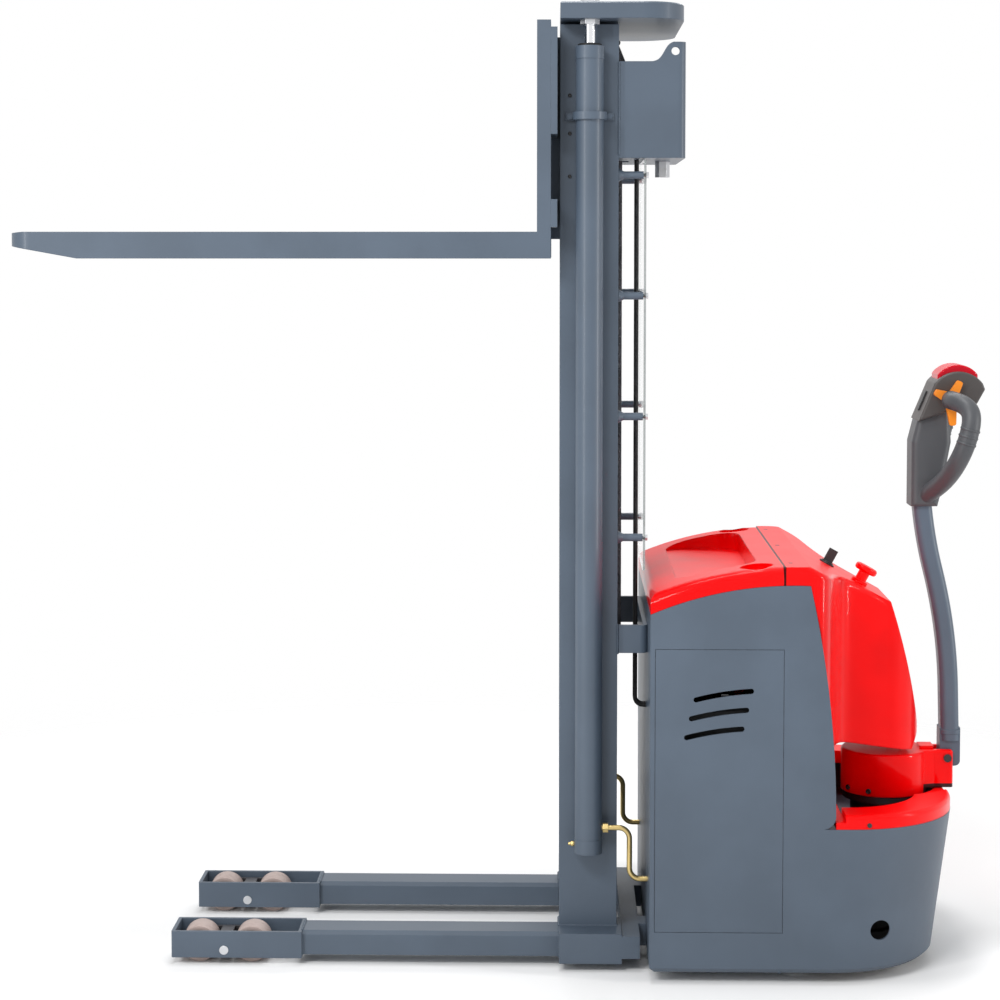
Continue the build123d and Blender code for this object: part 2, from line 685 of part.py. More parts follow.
# Carriage: cross plates behind the forks, cheeks between the rails and the chain anchor
shank_top_z = fork_top_z + shank_height
upper_plate_z = shank_top_z - 15.0 - upper_plate_height
lower_plate_z = fork_top_z + 10.0
cheek_bottom = fork_top_z - 15.0
cheek_top = shank_top_z - 20.0
carriage_half_width = fork_y + fork_width / 2
with BuildPart() as carriage_frame:
    plate_x = shank_rear_x + cross_plate / 2
    with Locations((plate_x, 0, upper_plate_z + upper_plate_height / 2)):
        Box(cross_plate, 2 * carriage_half_width, upper_plate_height)
    with Locations((plate_x, 0, lower_plate_z + lower_plate_height / 2)):
        Box(cross_plate, 2 * carriage_half_width, lower_plate_height)
    for side, sign in sides:
        cheek_middle_y = sign * (cheek_y - cheek_thickness / 2)
        with Locations((shank_rear_x + cheek_depth / 2, cheek_middle_y, (cheek_bottom + cheek_top) / 2)):
            Box(cheek_depth, cheek_thickness, cheek_top - cheek_bottom)
    anchor_length = chain_front_x + chain_thickness / 2 - shank_rear_x
    with Locations((shank_rear_x + anchor_length / 2, 0, carriage_anchor_z - anchor_height / 2)):
        Box(anchor_length, chain_width, anchor_height)

# Carriage rollers: on stubs from the cheeks, in the inner channels
carriage_roller_rise = 75.0     # lower carriage roller above the fork
carriage_roller_pitch = 300.0
carriage_roller_z = fork_top_z + carriage_roller_rise
carriage_roller_heights = (carriage_roller_z, carriage_roller_z + carriage_roller_pitch)
carriage_roller_gap = 2.0
with BuildPart() as carriage_rollers:
    with BuildSketch(Plane.XZ.offset(cheek_y)):
        for height in carriage_roller_heights:
            with Locations((rail_x, height)):
                Circle(roller_stub_radius)
    extrude(amount=cheek_gap + carriage_roller_gap)
    with BuildSketch(Plane.XZ.offset(inner_flange_y + carriage_roller_gap)):
        for height in carriage_roller_heights:
            with Locations((rail_x, height)):
                Circle(roller_radius)
    extrude(amount=roller_width)
    mirror(about=Plane.XZ)

# Forks: folded channels, open below so that they come down over the legs
tip_corner = 45.0
tip_drop = 3.0
fork_parts = {}
for side, sign in sides:
    with BuildPart() as fork:
        with BuildSketch(Plane.XZ.offset(-sign * fork_y - fork_width / 2)):
            with BuildLine():
                Polyline(
                    (fork_tip_x, fork_top_z - tip_drop),
                    (fork_tip_x + tip_depth, fork_top_z),
                    (heel_x, fork_top_z),
                    (heel_x, shank_top_z),
                    (shank_rear_x, shank_top_z),
                    (shank_rear_x, fork_top_z - fork_depth),
                    (fork_tip_x + tip_taper, fork_top_z - fork_depth),
                    (fork_tip_x, fork_top_z - tip_depth),
                    close=True,
                )
            make_face()
        extrude(amount=fork_width)
        fillet(fork.edges().filter_by(Axis.Z).group_by(Axis.X)[0], radius=tip_corner)
        cavity_start = fork_tip_x + tip_solid
        cavity_length = shank_rear_x - cavity_start
        cavity_z = fork_top_z - fork_plate - fork_depth / 2
        with Locations((cavity_start + cavity_length / 2, sign * fork_y, cavity_z)):
            Box(cavity_length, fork_width - 2 * fork_plate, fork_depth, mode=Mode.SUBTRACT)
    fork_parts[side] = fork

with BuildPart() as forks:
    for fork in fork_parts.values():
        add(fork.part)

# Chassis lines shared by the walls, the door and the covers
seam_x = front_x + hood_length
hood_end_x = front_x + side_rear_upper - 5.0
hood_middle_x = front_x + hood_length * 0.47
wall_bulge = 11.0
wall_corner = 28.0
wall_inner_y = chassis_half_width - chassis_wall


def hood_arc(lift):
    """Side view of the hood's top line, moved up by lift."""
    return ThreePointArc(
        (front_x, hood_front_z + lift),
        (hood_middle_x, hood_middle_z + lift),
        (hood_end_x, hood_rear_z + lift),
    )


def side_wall_face(grow):
    """Outline of the grey side wall, grown on its top and rear edges."""
    with BuildSketch(Plane.XZ) as face:
        with BuildLine():
            top = hood_arc(-hood_lip)
            rear = ThreePointArc(
                top @ 1,
                (front_x + (side_rear_upper + side_rear_lower) / 2 + wall_bulge, (hood_rear_z + skirt_top) / 2),
                (front_x + side_rear_lower, skirt_top),
            )
            Polyline(rear @ 1, (front_x, skirt_top), top @ 0)
        make_face()
        corner = face.vertices().sort_by_distance((hood_end_x, 0, hood_rear_z - hood_lip))[0]
        fillet(corner, radius=wall_corner)
        if grow:
            offset(amount=grow)
    return face.sketch


def skirt_plan(inset, draw):
    """Plan of the body: square at the front, round at the rear corners."""
    with BuildSketch() as plan:
        with Locations(((front_x + chassis_rear_x - draw) / 2, 0)):
            body = Rectangle(chassis_length - draw - 2 * inset, 2 * (chassis_half_width - inset))
        fillet(body.vertices().group_by(Axis.X)[-1], radius=skirt_corner - inset)
    return plan.sketch


# Chassis: rear skirt, side and front walls, floor, bulkhead and drive shelf
floor_length = 345.0            # floor behind the front wall; open below the drive wheel
shelf_z = 250.0
shelf_thickness = 12.0
shelf_start = 375.0
shelf_bore = 82.0
skirt_edge = 10.0               # bevel along the skirt's lower edge
access_hole_radius = 22.0
access_hole_back = 184.0        # ahead of the rear end
access_hole_z = 117.0
bulkhead_top = 780.0
door_margin = 11.0              # door's front edge behind the front wall
door_width = 275.0
door_bottom = 115.0
door_top = 730.0
door_seam = 0.8
skirt_height = skirt_top - chassis_bottom
shelf_draw = skirt_draw * (skirt_top - shelf_z) / skirt_height
skirt_sections = (
    (chassis_bottom, skirt_edge, skirt_draw),
    (chassis_bottom + skirt_edge, 0, skirt_draw * (1 - skirt_edge / skirt_height)),
    (skirt_top, 0, 0),
)
door_x = front_x + door_margin + door_width / 2
door_z = (door_bottom + door_top) / 2
with BuildPart() as chassis:
    for height, inset, draw in skirt_sections:
        with BuildSketch(Plane.XY.offset(height)):
            add(skirt_plan(inset, draw))
    loft(ruled=True)
    for height, draw in ((chassis_bottom + chassis_wall, skirt_draw), (skirt_top, 0)):
        with BuildSketch(Plane.XY.offset(height)):
            add(skirt_plan(chassis_wall, draw))
    loft(ruled=True, mode=Mode.SUBTRACT)
    with BuildSketch(Plane.XY.offset(chassis_bottom)):
        add(skirt_plan(3 * chassis_wall, skirt_draw))
        with Locations((front_x, 0)):
            Rectangle(2 * floor_length, 4 * chassis_half_width, mode=Mode.SUBTRACT)
    extrude(amount=chassis_wall, mode=Mode.SUBTRACT)
    with BuildSketch(Plane.XY.offset(shelf_z)):
        add(skirt_plan(chassis_wall / 2, shelf_draw))
        with Locations((front_x, 0)):
            Rectangle(2 * shelf_start, 4 * chassis_half_width, mode=Mode.SUBTRACT)
        with Locations((steer_x, 0)):
            Circle(shelf_bore, mode=Mode.SUBTRACT)
        with Locations((caster_x, -caster_y), (caster_x, caster_y)):
            Circle(kingpin_radius + running_play, mode=Mode.SUBTRACT)
    extrude(amount=shelf_thickness)
    for y in (chassis_half_width, -wall_inner_y):
        with BuildSketch(Plane.XZ.offset(-y)):
            add(side_wall_face(0))
        extrude(amount=chassis_wall)
    with Locations((front_x + chassis_wall / 2, 0, (skirt_top + hood_front_z - hood_lip) / 2)):
        Box(chassis_wall, 2 * chassis_half_width, hood_front_z - hood_lip - skirt_top)
    with Locations((seam_x - chassis_wall, 0, (chassis_bottom + bulkhead_top) / 2)):
        Box(chassis_wall, 2 * wall_inner_y + 1, bulkhead_top - chassis_bottom)
    with Locations((door_x, -chassis_half_width, door_z)):
        Box(
            door_width + 2 * door_seam,
            3 * chassis_wall,
            door_top - door_bottom + 2 * door_seam,
            mode=Mode.SUBTRACT,
        )
    with BuildSketch(Plane.XZ.offset(chassis_half_width / 2)):
        with Locations((chassis_rear_x - access_hole_back, access_hole_z)):
            Circle(access_hole_radius)
    extrude(amount=chassis_half_width, mode=Mode.SUBTRACT)

# Side door with three arched vent slots
door_thickness = 5.0
vent_height = 11.5
vent_length = 118.0
vent_rise = 19.0
vent_arch = 3.0
vent_pitch_x = 10.0
vent_pitch_z = 41.0
vent_x = door_x + 9.0
vent_drop = 96.0                # upper vent below the door's top
vent_z = door_top - vent_drop
vent_arcs = []
for row in range(3):
    middle = (vent_x - row * vent_pitch_x, vent_z - row * vent_pitch_z)
    vent_arcs.append(
        ThreePointArc(
            (middle[0] - vent_length / 2, middle[1] - vent_rise / 2 - vent_arch),
            (middle[0], middle[1]),
            (middle[0] + vent_length / 2, middle[1] + vent_rise / 2 - vent_arch),
        )
    )
with BuildPart() as side_door:
    with BuildSketch(Plane.XZ.offset(chassis_half_width - door_thickness)):
        with Locations((door_x, door_z)):
            Rectangle(door_width, door_top - door_bottom)
        for arc in vent_arcs:
            SlotArc(arc.edge(), vent_height, mode=Mode.SUBTRACT)
    extrude(amount=door_thickness)

# Battery cover: the hood's front half, with a tray and two cup rests in its top
hood_edge = 26.0
tray_front = 60.0
tray_rear = 236.0
tray_half_width = 285.0
tray_corner = 60.0
tray_floor_z = 862.0
pan_reach = 20.0                # room for the tray below the hood's lip
cup_radius = 36.0
cup_back = 230.0
cup_y = 318.0
cup_floor_z = 892.0
tray_middle_x = front_x + (tray_front + tray_rear) / 2
sky = 960.0                     # above everything on the body


def hood_slab(inset, low, end_x):
    """Solid under the hood's top line, from the front to end_x, its upper edges rounded."""
    with BuildPart() as slab:
        with BuildSketch(Plane.XZ):
            with BuildLine():
                top = hood_arc(-inset)
                under = hood_arc(-low)
                Line(top @ 0, under @ 0)
                Line(top @ 1, under @ 1)
            make_face()
        extrude(amount=chassis_half_width - inset, both=True)
        with Locations((front_x + inset, 0, hood_front_z)):
            Box(end_x - front_x - 2 * inset, 4 * chassis_half_width, sky,
                align=(Align.MIN, Align.CENTER, Align.CENTER), mode=Mode.INTERSECT)
        top_arcs = slab.edges().filter_by(GeomType.CIRCLE).sort_by(Axis.Z)[-2:]
        front_edge = slab.edges().filter_by(Axis.Y).group_by(Axis.X)[0].sort_by(Axis.Z)[-1:]
        fillet(top_arcs + front_edge, radius=hood_edge - inset)
    return slab


def tray_block(grow):
    """Tray and cup shapes above their floors, grown by a wall."""
    with BuildPart() as block:
        with BuildSketch(Plane.XY.offset(tray_floor_z - grow)):
            with Locations((tray_middle_x, 0)):
                RectangleRounded(
                    tray_rear - tray_front + 2 * grow, 2 * (tray_half_width + grow), tray_corner + grow
                )
        extrude(amount=sky - tray_floor_z + grow)
        with BuildSketch(Plane.XY.offset(cup_floor_z - grow)):
            with Locations((front_x + cup_back, -cup_y), (front_x + cup_back, cup_y)):
                Circle(cup_radius + grow)
        extrude(amount=sky - cup_floor_z + grow)
    return block.part


with BuildPart() as hood_void:
    add(hood_slab(cover_wall, hood_lip + pan_reach, seam_x).part)
    add(tray_block(cover_wall), mode=Mode.SUBTRACT)

# The tray's pan hangs below the slab where the hood rises over its level floor
with BuildPart() as tray_pan:
    add(tray_block(cover_wall))
    add(hood_slab(0, hood_lip + pan_reach, seam_x).part, mode=Mode.INTERSECT)

with BuildPart() as battery_cover:
    add(hood_slab(0, hood_lip - cover_gap, seam_x).part)
    add(tray_pan.part)
    add(tray_block(0), mode=Mode.SUBTRACT)
    add(hood_void.part, mode=Mode.SUBTRACT)

# Rear cover: from the hood's seam over a slope to the nose above the steering head
cover_foot_z = skirt_top + deck_thickness
alcove_depth = 409.0            # front wall to the steering head's alcove
alcove_x = front_x + alcove_depth
nose_bottom_z = 452.0
flank_bottom_z = 490.0          # the nose's lower edge rises towards the flanks
nose_low_z = 490.0
nose_top_z = 795.0
nose_middle_z = 604.0
nose_top_x = steer_x - 2.0
nose_middle_x = steer_x + 51.0
nose_rear_x = steer_x + 73.0
nose_tip_half_width = 75.0
nose_trail = 47.0               # nose's flanks end behind the steering axis
flute = ((712, 300), (738, 178), (757, 145), (800, 126), (860, 108))
flank_start = (1, 0)            # direction of the flank at the seam and at the nose
flank_end = (1, 0.35)
nose_round = 20.0
cover_edge = 16.0
slope_rise = nose_top_z - hood_rear_z
slope_run = nose_top_x - hood_end_x
slope_angle = atan2(slope_rise, slope_run)


def flank_points(inset):
    """Near flank of the cover in plan, each point drawn in square to the flank."""
    points = [Vector(hood_end_x, -chassis_half_width)] + [Vector(x, -y) for x, y in flute]
    ways = [after - before for before, after in zip(points, points[2:])]
    ways = [Vector(*flank_start)] + ways + [Vector(*flank_end)]
    drawn = [point - way.normalized().rotate(Axis.Z, -90) * inset for point, way in zip(points, ways)]
    return [(point.X, point.Y) for point in drawn]


def rear_form(inset, reach):
    """Rear cover's side view cut to its plan, drawn in by inset, its open ends moved out by reach."""
    foot_z = cover_foot_z - reach
    front = seam_x + cover_gap - reach
    flank = flank_points(inset)
    with BuildPart() as form:
        with BuildSketch(Plane.XZ):
            with BuildLine():
                top = hood_arc(0)
                slope = Line(top @ 1, (nose_top_x, nose_top_z))
                rear = ThreePointArc(slope @ 1, (nose_middle_x, nose_middle_z), (nose_rear_x, nose_low_z))
                Polyline(
                    rear @ 1,
                    (nose_rear_x - nose_round, nose_bottom_z),
                    (alcove_x, flank_bottom_z),
                    (alcove_x, foot_z),
                    (front_x, foot_z),
                    top @ 0,
                )
            make_face()
            if inset:
                offset(amount=-inset)
        extrude(amount=chassis_half_width, both=True)
        with BuildSketch(Plane.XY.offset(foot_z)):
            with BuildLine():
                Polyline((front, 0), (front, flank[0][1]), flank[0])
                Spline(flank, tangents=(flank_start, flank_end))
                ThreePointArc(
                    flank[-1],
                    (steer_x + nose_trail - inset / 2, -nose_tip_half_width + inset),
                    (nose_rear_x - inset, 0),
                )
                mirror(about=Plane.XZ)
            make_face()
        extrude(amount=sky - foot_z, mode=Mode.INTERSECT)
        ridge = form.edges().filter_by(GeomType.BSPLINE).filter_by(lambda e: e.center().Z > nose_top_z)
        fillet(ridge, radius=cover_edge - inset)
    return form


def slope_plane(along, y):
    """Plane on the rear cover's slope, its normal pointing out."""
    return Plane(
        origin=(hood_end_x + along * cos(slope_angle), y, hood_rear_z + along * sin(slope_angle)),
        x_dir=(cos(slope_angle), 0, sin(slope_angle)),
        z_dir=(-sin(slope_angle), 0, cos(slope_angle)),
    )


key_along = 86.0
key_y = 0.0
stop_along = 161.0
stop_y = -60.0
barrel_radius = 14.0
stop_stem_radius = 13.0
panel_play = 0.5
rear_void = rear_form(cover_wall, 2 * cover_wall)
screw_radius = 5.0
screw_height = 2.5
screw_play = 0.2
screw_seat_z = hood_rear_z - 1.5
seam_screw_y = (-300.0, 0.0, 300.0)
seam_screw_back = 18.0
with BuildPart() as rear_cover:
    add(rear_form(0, 0).part)
    add(rear_void.part, mode=Mode.SUBTRACT)
    for y in (-wall_inner_y + cover_gap, chassis_half_width + cover_gap):
        with BuildSketch(Plane.XZ.offset(-y)):
            add(side_wall_face(cover_gap))
        extrude(amount=chassis_wall + 2 * cover_gap, mode=Mode.SUBTRACT)
    stop_bore = stop_stem_radius + panel_play
    for along, y, radius in ((key_along, key_y, barrel_radius), (stop_along, stop_y, stop_bore)):
        with BuildSketch(slope_plane(along, y)):
            Circle(radius)
        extrude(amount=3 * cover_wall, both=True, mode=Mode.SUBTRACT)
    for y in seam_screw_y:
        with BuildSketch(Plane.XY.offset(screw_seat_z)):
            with Locations((seam_x + seam_screw_back, y)):
                Circle(screw_radius + screw_play)
        extrude(amount=2 * screw_height, mode=Mode.SUBTRACT)

# Deck cover: a raised rim round an open well, low where the tiller sweeps over it
deck_top_z = skirt_top + deck_thickness
rim_edge = 9.0
rim_width = 78.0
deck_well = 116.0
deck_start_x = front_x + side_rear_lower + cover_gap
strip_end_x = alcove_x + 12.0   # strip that carries the rear cover's foot
sweep_reach = arm_reach + 14.0  # room for the steering arm's end
with BuildPart() as deck_cover:
    with BuildSketch(Plane.XY.offset(skirt_top)):
        add(skirt_plan(cover_gap, 0))
        with Locations((front_x, 0)):
            Rectangle(2 * (strip_end_x - front_x), 4 * chassis_half_width, mode=Mode.SUBTRACT)
    extrude(amount=rim_height)
    rim = deck_cover.faces().sort_by(Axis.Z)[-1].outer_wire().edges()
    fillet(rim.filter_by(lambda e: e.center().X > strip_end_x), radius=rim_edge)
    with BuildSketch(Plane.XY.offset(skirt_top)):
        with Locations((deck_start_x, 0)):
            Rectangle(
                strip_end_x - deck_start_x, 2 * (chassis_half_width - cover_gap), align=(Align.MIN, Align.CENTER)
            )
    extrude(amount=deck_thickness)
    with BuildSketch(Plane.XY.offset(skirt_top)):
        add(skirt_plan(rim_width, 0))
        with Locations((front_x, 0)):
            Rectangle(2 * (strip_end_x - front_x), 4 * chassis_half_width, mode=Mode.SUBTRACT)
        with Locations((steer_x, 0)):
            Circle(deck_well)
    extrude(amount=rim_height, mode=Mode.SUBTRACT)
    with BuildSketch(Plane.XY.offset(deck_top_z)):
        with Locations((steer_x, 0)):
            Circle(sweep_reach)
    extrude(amount=rim_height, mode=Mode.SUBTRACT)

# Cover screws: button heads along the seam and on the rim's sides
rim_screw_turn = 9.0            # degrees round the rear corner
rim_screw_z = skirt_top + 9.0
corner_x = chassis_rear_x - skirt_corner
corner_y = chassis_half_width - skirt_corner
with BuildPart() as cover_screws:
    with BuildSketch(Plane.XY.offset(screw_seat_z)):
        for y in seam_screw_y:
            with Locations((seam_x + seam_screw_back, y)):
                Circle(screw_radius)
    extrude(amount=screw_height)
    for side, sign in sides:
        outward = Vector(0, sign).rotate(Axis.Z, -sign * rim_screw_turn)
        seat = Vector(corner_x, sign * corner_y, rim_screw_z) + outward * (skirt_corner - cover_gap)
        with BuildSketch(Plane(origin=seat, z_dir=outward)):
            Circle(screw_radius)
        extrude(amount=screw_height)

# Key switch and key
barrel_rise = 6.0
barrel_depth = 30.0
key_stem_radius = 5.0
key_stem_length = 18.0
key_bow_width = 22.0
key_bow_height = 30.0
key_bow_thickness = 4.0
with BuildPart() as key_switch:
    with BuildSketch(slope_plane(key_along, key_y).offset(barrel_rise - barrel_depth)):
        Circle(barrel_radius - running_play)
    extrude(amount=barrel_depth)
    with BuildSketch(slope_plane(key_along, key_y).offset(barrel_rise - key_stem_length)):
        Circle(key_stem_radius + running_play)
    extrude(amount=key_stem_length, mode=Mode.SUBTRACT)
    with BuildSketch(slope_plane(key_along, key_y)):
        Circle(barrel_radius + 4)
        Circle(barrel_radius - 1, mode=Mode.SUBTRACT)
    extrude(amount=3)

with BuildPart() as key:
    with BuildSketch(slope_plane(key_along, key_y).offset(barrel_rise - key_stem_length)):
        Circle(key_stem_radius)
    extrude(amount=key_stem_length)
    with BuildSketch(slope_plane(key_along, key_y).offset(barrel_rise)):
        RectangleRounded(key_bow_width, key_bow_thickness, 1.5)
    extrude(amount=key_bow_height)

# Emergency stop: collar on the cover and a mushroom button that pushes in
stop_head_radius = 26.0
stop_head_height = 15.0
stop_travel = 6.0
stop_stem_below = 25.0
collar_radius = 19.0
collar_height = 8.0
stop_stem_above = 14.0 + collar_height + stop_travel
with BuildPart() as stop_collar:
    with BuildSketch(slope_plane(stop_along, stop_y)):
        Circle(collar_radius)
        Circle(stop_stem_radius + panel_play, mode=Mode.SUBTRACT)
    extrude(amount=collar_height)

with BuildPart() as stop_button:
    with BuildSketch(slope_plane(stop_along, stop_y).offset(-stop_stem_below)):
        Circle(stop_stem_radius)
    extrude(amount=stop_stem_below + stop_stem_above)
    with BuildSketch(slope_plane(stop_along, stop_y).offset(stop_stem_above)):
        Circle(stop_head_radius)
    extrude(amount=stop_head_height)
    head_rims = stop_button.edges().filter_by(GeomType.CIRCLE)
    fillet(head_rims.filter_by(lambda e: e.radius > stop_head_radius - 1), radius=6)

# Battery in the front bay, on the floor
bay_gap = 14.0
battery_length = 250.0
battery_half_width = 300.0
battery_height = 560.0
floor_z = chassis_bottom + chassis_wall
battery_x = front_x + chassis_wall + bay_gap + battery_length / 2
with BuildPart() as battery:
    with Locations((battery_x, 0, floor_z + battery_height / 2)):
        Box(battery_length, 2 * battery_half_width, battery_height)
    chamfer(battery.edges().group_by(Axis.Z)[-1], length=8)

# Hydraulic unit behind the bulkhead: oil tank, pump motor and valve block
tank_length = 74.0
tank_width = 130.0
tank_height = 240.0
tank_y = 140.0
pump_radius = 52.0
pump_height = 150.0
pump_y = -130.0
pump_gap = 2.0
valve_width = 70.0
valve_height = 50.0
pump_x = seam_x + pump_gap + pump_radius
with BuildPart() as hydraulic_unit:
    with Locations((seam_x + tank_length / 2, tank_y, floor_z + tank_height / 2)):
        Box(tank_length, tank_width, tank_height)
    fillet(hydraulic_unit.edges().filter_by(Axis.Z), radius=10)
    with BuildSketch(Plane.XY.offset(floor_z)):
        with Locations((pump_x, pump_y)):
            Circle(pump_radius)
    extrude(amount=pump_height)
    with Locations((pump_x, pump_y, floor_z + pump_height + valve_height / 2)):
        Box(valve_width, valve_width, valve_height)

# Motor controller on the bulkhead
controller_width = 160.0
controller_height = 180.0
controller_depth = 60.0
controller_z = 520.0
with BuildPart() as motor_controller:
    with Locations((seam_x - chassis_wall / 2 + controller_depth / 2, 0, controller_z)):
        Box(controller_depth, controller_width, controller_height)

# Drive unit: motor, bearing flange, gearbox leg and the wheel's axle
motor_radius = 76.0
motor_bottom = 212.0
flange_radius = 94.0
flange_thickness = 17.0
bearing_gap = 0.3
gearbox_width = 38.0
gearbox_length = 96.0
gearbox_gap = 5.0
drive_axle_radius = 20.0
gearbox_y = drive_wheel_width / 2 + gearbox_gap + gearbox_width / 2
gearbox_bottom = 45.0
gearbox_top = motor_bottom + 10.0
wheel_x = steer_x - drive_wheel_lead
shelf_top = shelf_z + shelf_thickness
with BuildPart() as drive_unit:
    with BuildSketch(Plane.XY.offset(motor_bottom)):
        with Locations((steer_x, 0)):
            Circle(motor_radius)
    extrude(amount=drum_bottom_z - motor_bottom)
    with BuildSketch(Plane.XY.offset(shelf_top + bearing_gap)):
        with Locations((steer_x, 0)):
            Circle(flange_radius)
    extrude(amount=flange_thickness)
    with BuildSketch(Plane.XY.offset(drum_bottom_z - flange_thickness)):
        with Locations((steer_x, 0)):
            Circle(flange_radius)
    extrude(amount=flange_thickness)
    with Locations((wheel_x, gearbox_y, (gearbox_bottom + gearbox_top) / 2)):
        Box(gearbox_length, gearbox_width, gearbox_top - gearbox_bottom)
    with BuildSketch(Plane.XZ.offset(-gearbox_y)):
        with Locations((wheel_x, drive_wheel_radius)):
            Circle(drive_axle_radius)
    extrude(amount=gearbox_y + drive_wheel_width / 2)

wheel_rim = 6.0
with BuildPart() as drive_wheel:
    with BuildSketch(Plane.XZ.offset(-drive_wheel_width / 2)):
        with Locations((wheel_x, drive_wheel_radius)):
            Circle(drive_wheel_radius)
            Circle(drive_axle_radius + running_play, mode=Mode.SUBTRACT)
    extrude(amount=drive_wheel_width)
    treads = drive_wheel.edges().filter_by(GeomType.CIRCLE)
    fillet(treads.filter_by(lambda e: e.radius > drive_wheel_radius - 1), radius=wheel_rim)

# Stabiliser casters: a swivel fork under the shelf and its wheel
caster_plate_radius = 38.0
caster_plate_height = 14.0
caster_fork_plate = 6.0
caster_side_gap = 2.0
caster_axle_radius = 8.0
caster_fork_root = 52.0
caster_fork_foot = 36.0
caster_fork_drop = 14.0         # cheeks below the wheel's axis
caster_rim = 5.0
caster_fork_top = shelf_z - bearing_gap - caster_plate_height
caster_fork_y = caster_width / 2 + caster_side_gap
caster_wheel_x = caster_x - caster_trail
caster_parts = {}
caster_wheel_parts = {}
for side, sign in sides:
    with BuildPart() as caster:
        with BuildSketch(Plane.XY.offset(caster_fork_top)):
            with Locations((caster_x, sign * caster_y)):
                Circle(caster_plate_radius)
        extrude(amount=caster_plate_height)
        with BuildSketch(Plane.XY.offset(caster_fork_top + caster_plate_height)):
            with Locations((caster_x, sign * caster_y)):
                Circle(kingpin_radius)
        extrude(amount=shelf_thickness + 2 * bearing_gap)
        for cheek in (-1, 1):
            with BuildSketch(Plane.XZ.offset(-sign * caster_y - cheek * caster_fork_y)):
                with BuildLine():
                    Polyline(
                        (caster_x - caster_fork_root / 2, caster_fork_top),
                        (caster_x + caster_fork_root / 2, caster_fork_top),
                        (caster_wheel_x + caster_fork_foot / 2, caster_radius - caster_fork_drop),
                        (caster_wheel_x - caster_fork_foot / 2, caster_radius - caster_fork_drop),
                        close=True,
                    )
                make_face()
            extrude(amount=-cheek * caster_fork_plate)
        with BuildSketch(Plane.XZ.offset(-sign * caster_y)):
            with Locations((caster_wheel_x, caster_radius)):
                Circle(caster_axle_radius)
        extrude(amount=caster_fork_y + caster_fork_plate, both=True)
    caster_parts[side] = caster
    with BuildPart() as caster_wheel:
        with BuildSketch(Plane.XZ.offset(-sign * caster_y - caster_width / 2)):
            with Locations((caster_wheel_x, caster_radius)):
                Circle(caster_radius)
                Circle(caster_axle_radius + running_play, mode=Mode.SUBTRACT)
        extrude(amount=caster_width)
        tyres = caster_wheel.edges().filter_by(GeomType.CIRCLE)
        fillet(tyres.filter_by(lambda e: e.radius > caster_radius - 1), radius=caster_rim)
    caster_wheel_parts[side] = caster_wheel

# Steering head: drum and arm over the drive unit, bored for the tiller's pivot
arm_clearance = 2.0             # arm's underside above the deck
arm_bottom_z = deck_top_z + arm_clearance
arm_root_half_width = 52.0
arm_neck = 12.0                 # arm at its full narrowness behind the drum
arm_corner = 8.0
head_edge = 6.0
lug_start = 78.0
lug_end = 110.0
lug_height = 7.0
lug_half_width = 22.0
fork_slot_half = 21.5           # slot in the arm's end for the tiller's tongue
fork_slot_length = 43.0
neck_x = steer_x + drum_radius + arm_neck
arm_end_x = steer_x + arm_reach
with BuildPart() as steering_head:
    with BuildSketch(Plane.XY.offset(drum_bottom_z)):
        with Locations((steer_x, 0)):
            Circle(drum_radius)
    extrude(amount=drum_top_z - drum_bottom_z)
    with BuildSketch(Plane.XY.offset(arm_bottom_z)) as arm_sketch:
        with BuildLine():
            Polyline(
                (steer_x, -drum_radius + head_edge),
                (steer_x + arm_root_half_width, -arm_root_half_width - arm_corner),
                (neck_x, -arm_half_width),
                (arm_end_x, -arm_half_width),
                (arm_end_x, arm_half_width),
                (neck_x, arm_half_width),
                (steer_x + arm_root_half_width, arm_root_half_width + arm_corner),
                (steer_x, drum_radius - head_edge),
                close=True,
            )
        make_face()
        fillet(arm_sketch.vertices().group_by(Axis.X)[-1], radius=arm_corner)
    extrude(amount=drum_top_z - arm_bottom_z)
    fillet(steering_head.faces().sort_by(Axis.Z)[-1].outer_wire().edges(), radius=head_edge)
    with BuildSketch(Plane.XY.offset(drum_top_z)):
        with Locations((steer_x + (lug_start + lug_end) / 2, 0)):
            Rectangle(lug_end - lug_start, 2 * lug_half_width)
    extrude(amount=lug_height)
    with BuildSketch(Plane.XY.offset(arm_bottom_z)):
        with Locations((arm_end_x, 0)):
            Rectangle(2 * fork_slot_length, 2 * fork_slot_half)
    extrude(amount=drum_top_z + lug_height - arm_bottom_z, mode=Mode.SUBTRACT)
    with BuildSketch(Plane.XZ):
        with Locations((pivot_x, pivot_z)):
            Circle(pivot_radius)
    extrude(amount=arm_half_width, both=True, mode=Mode.SUBTRACT)

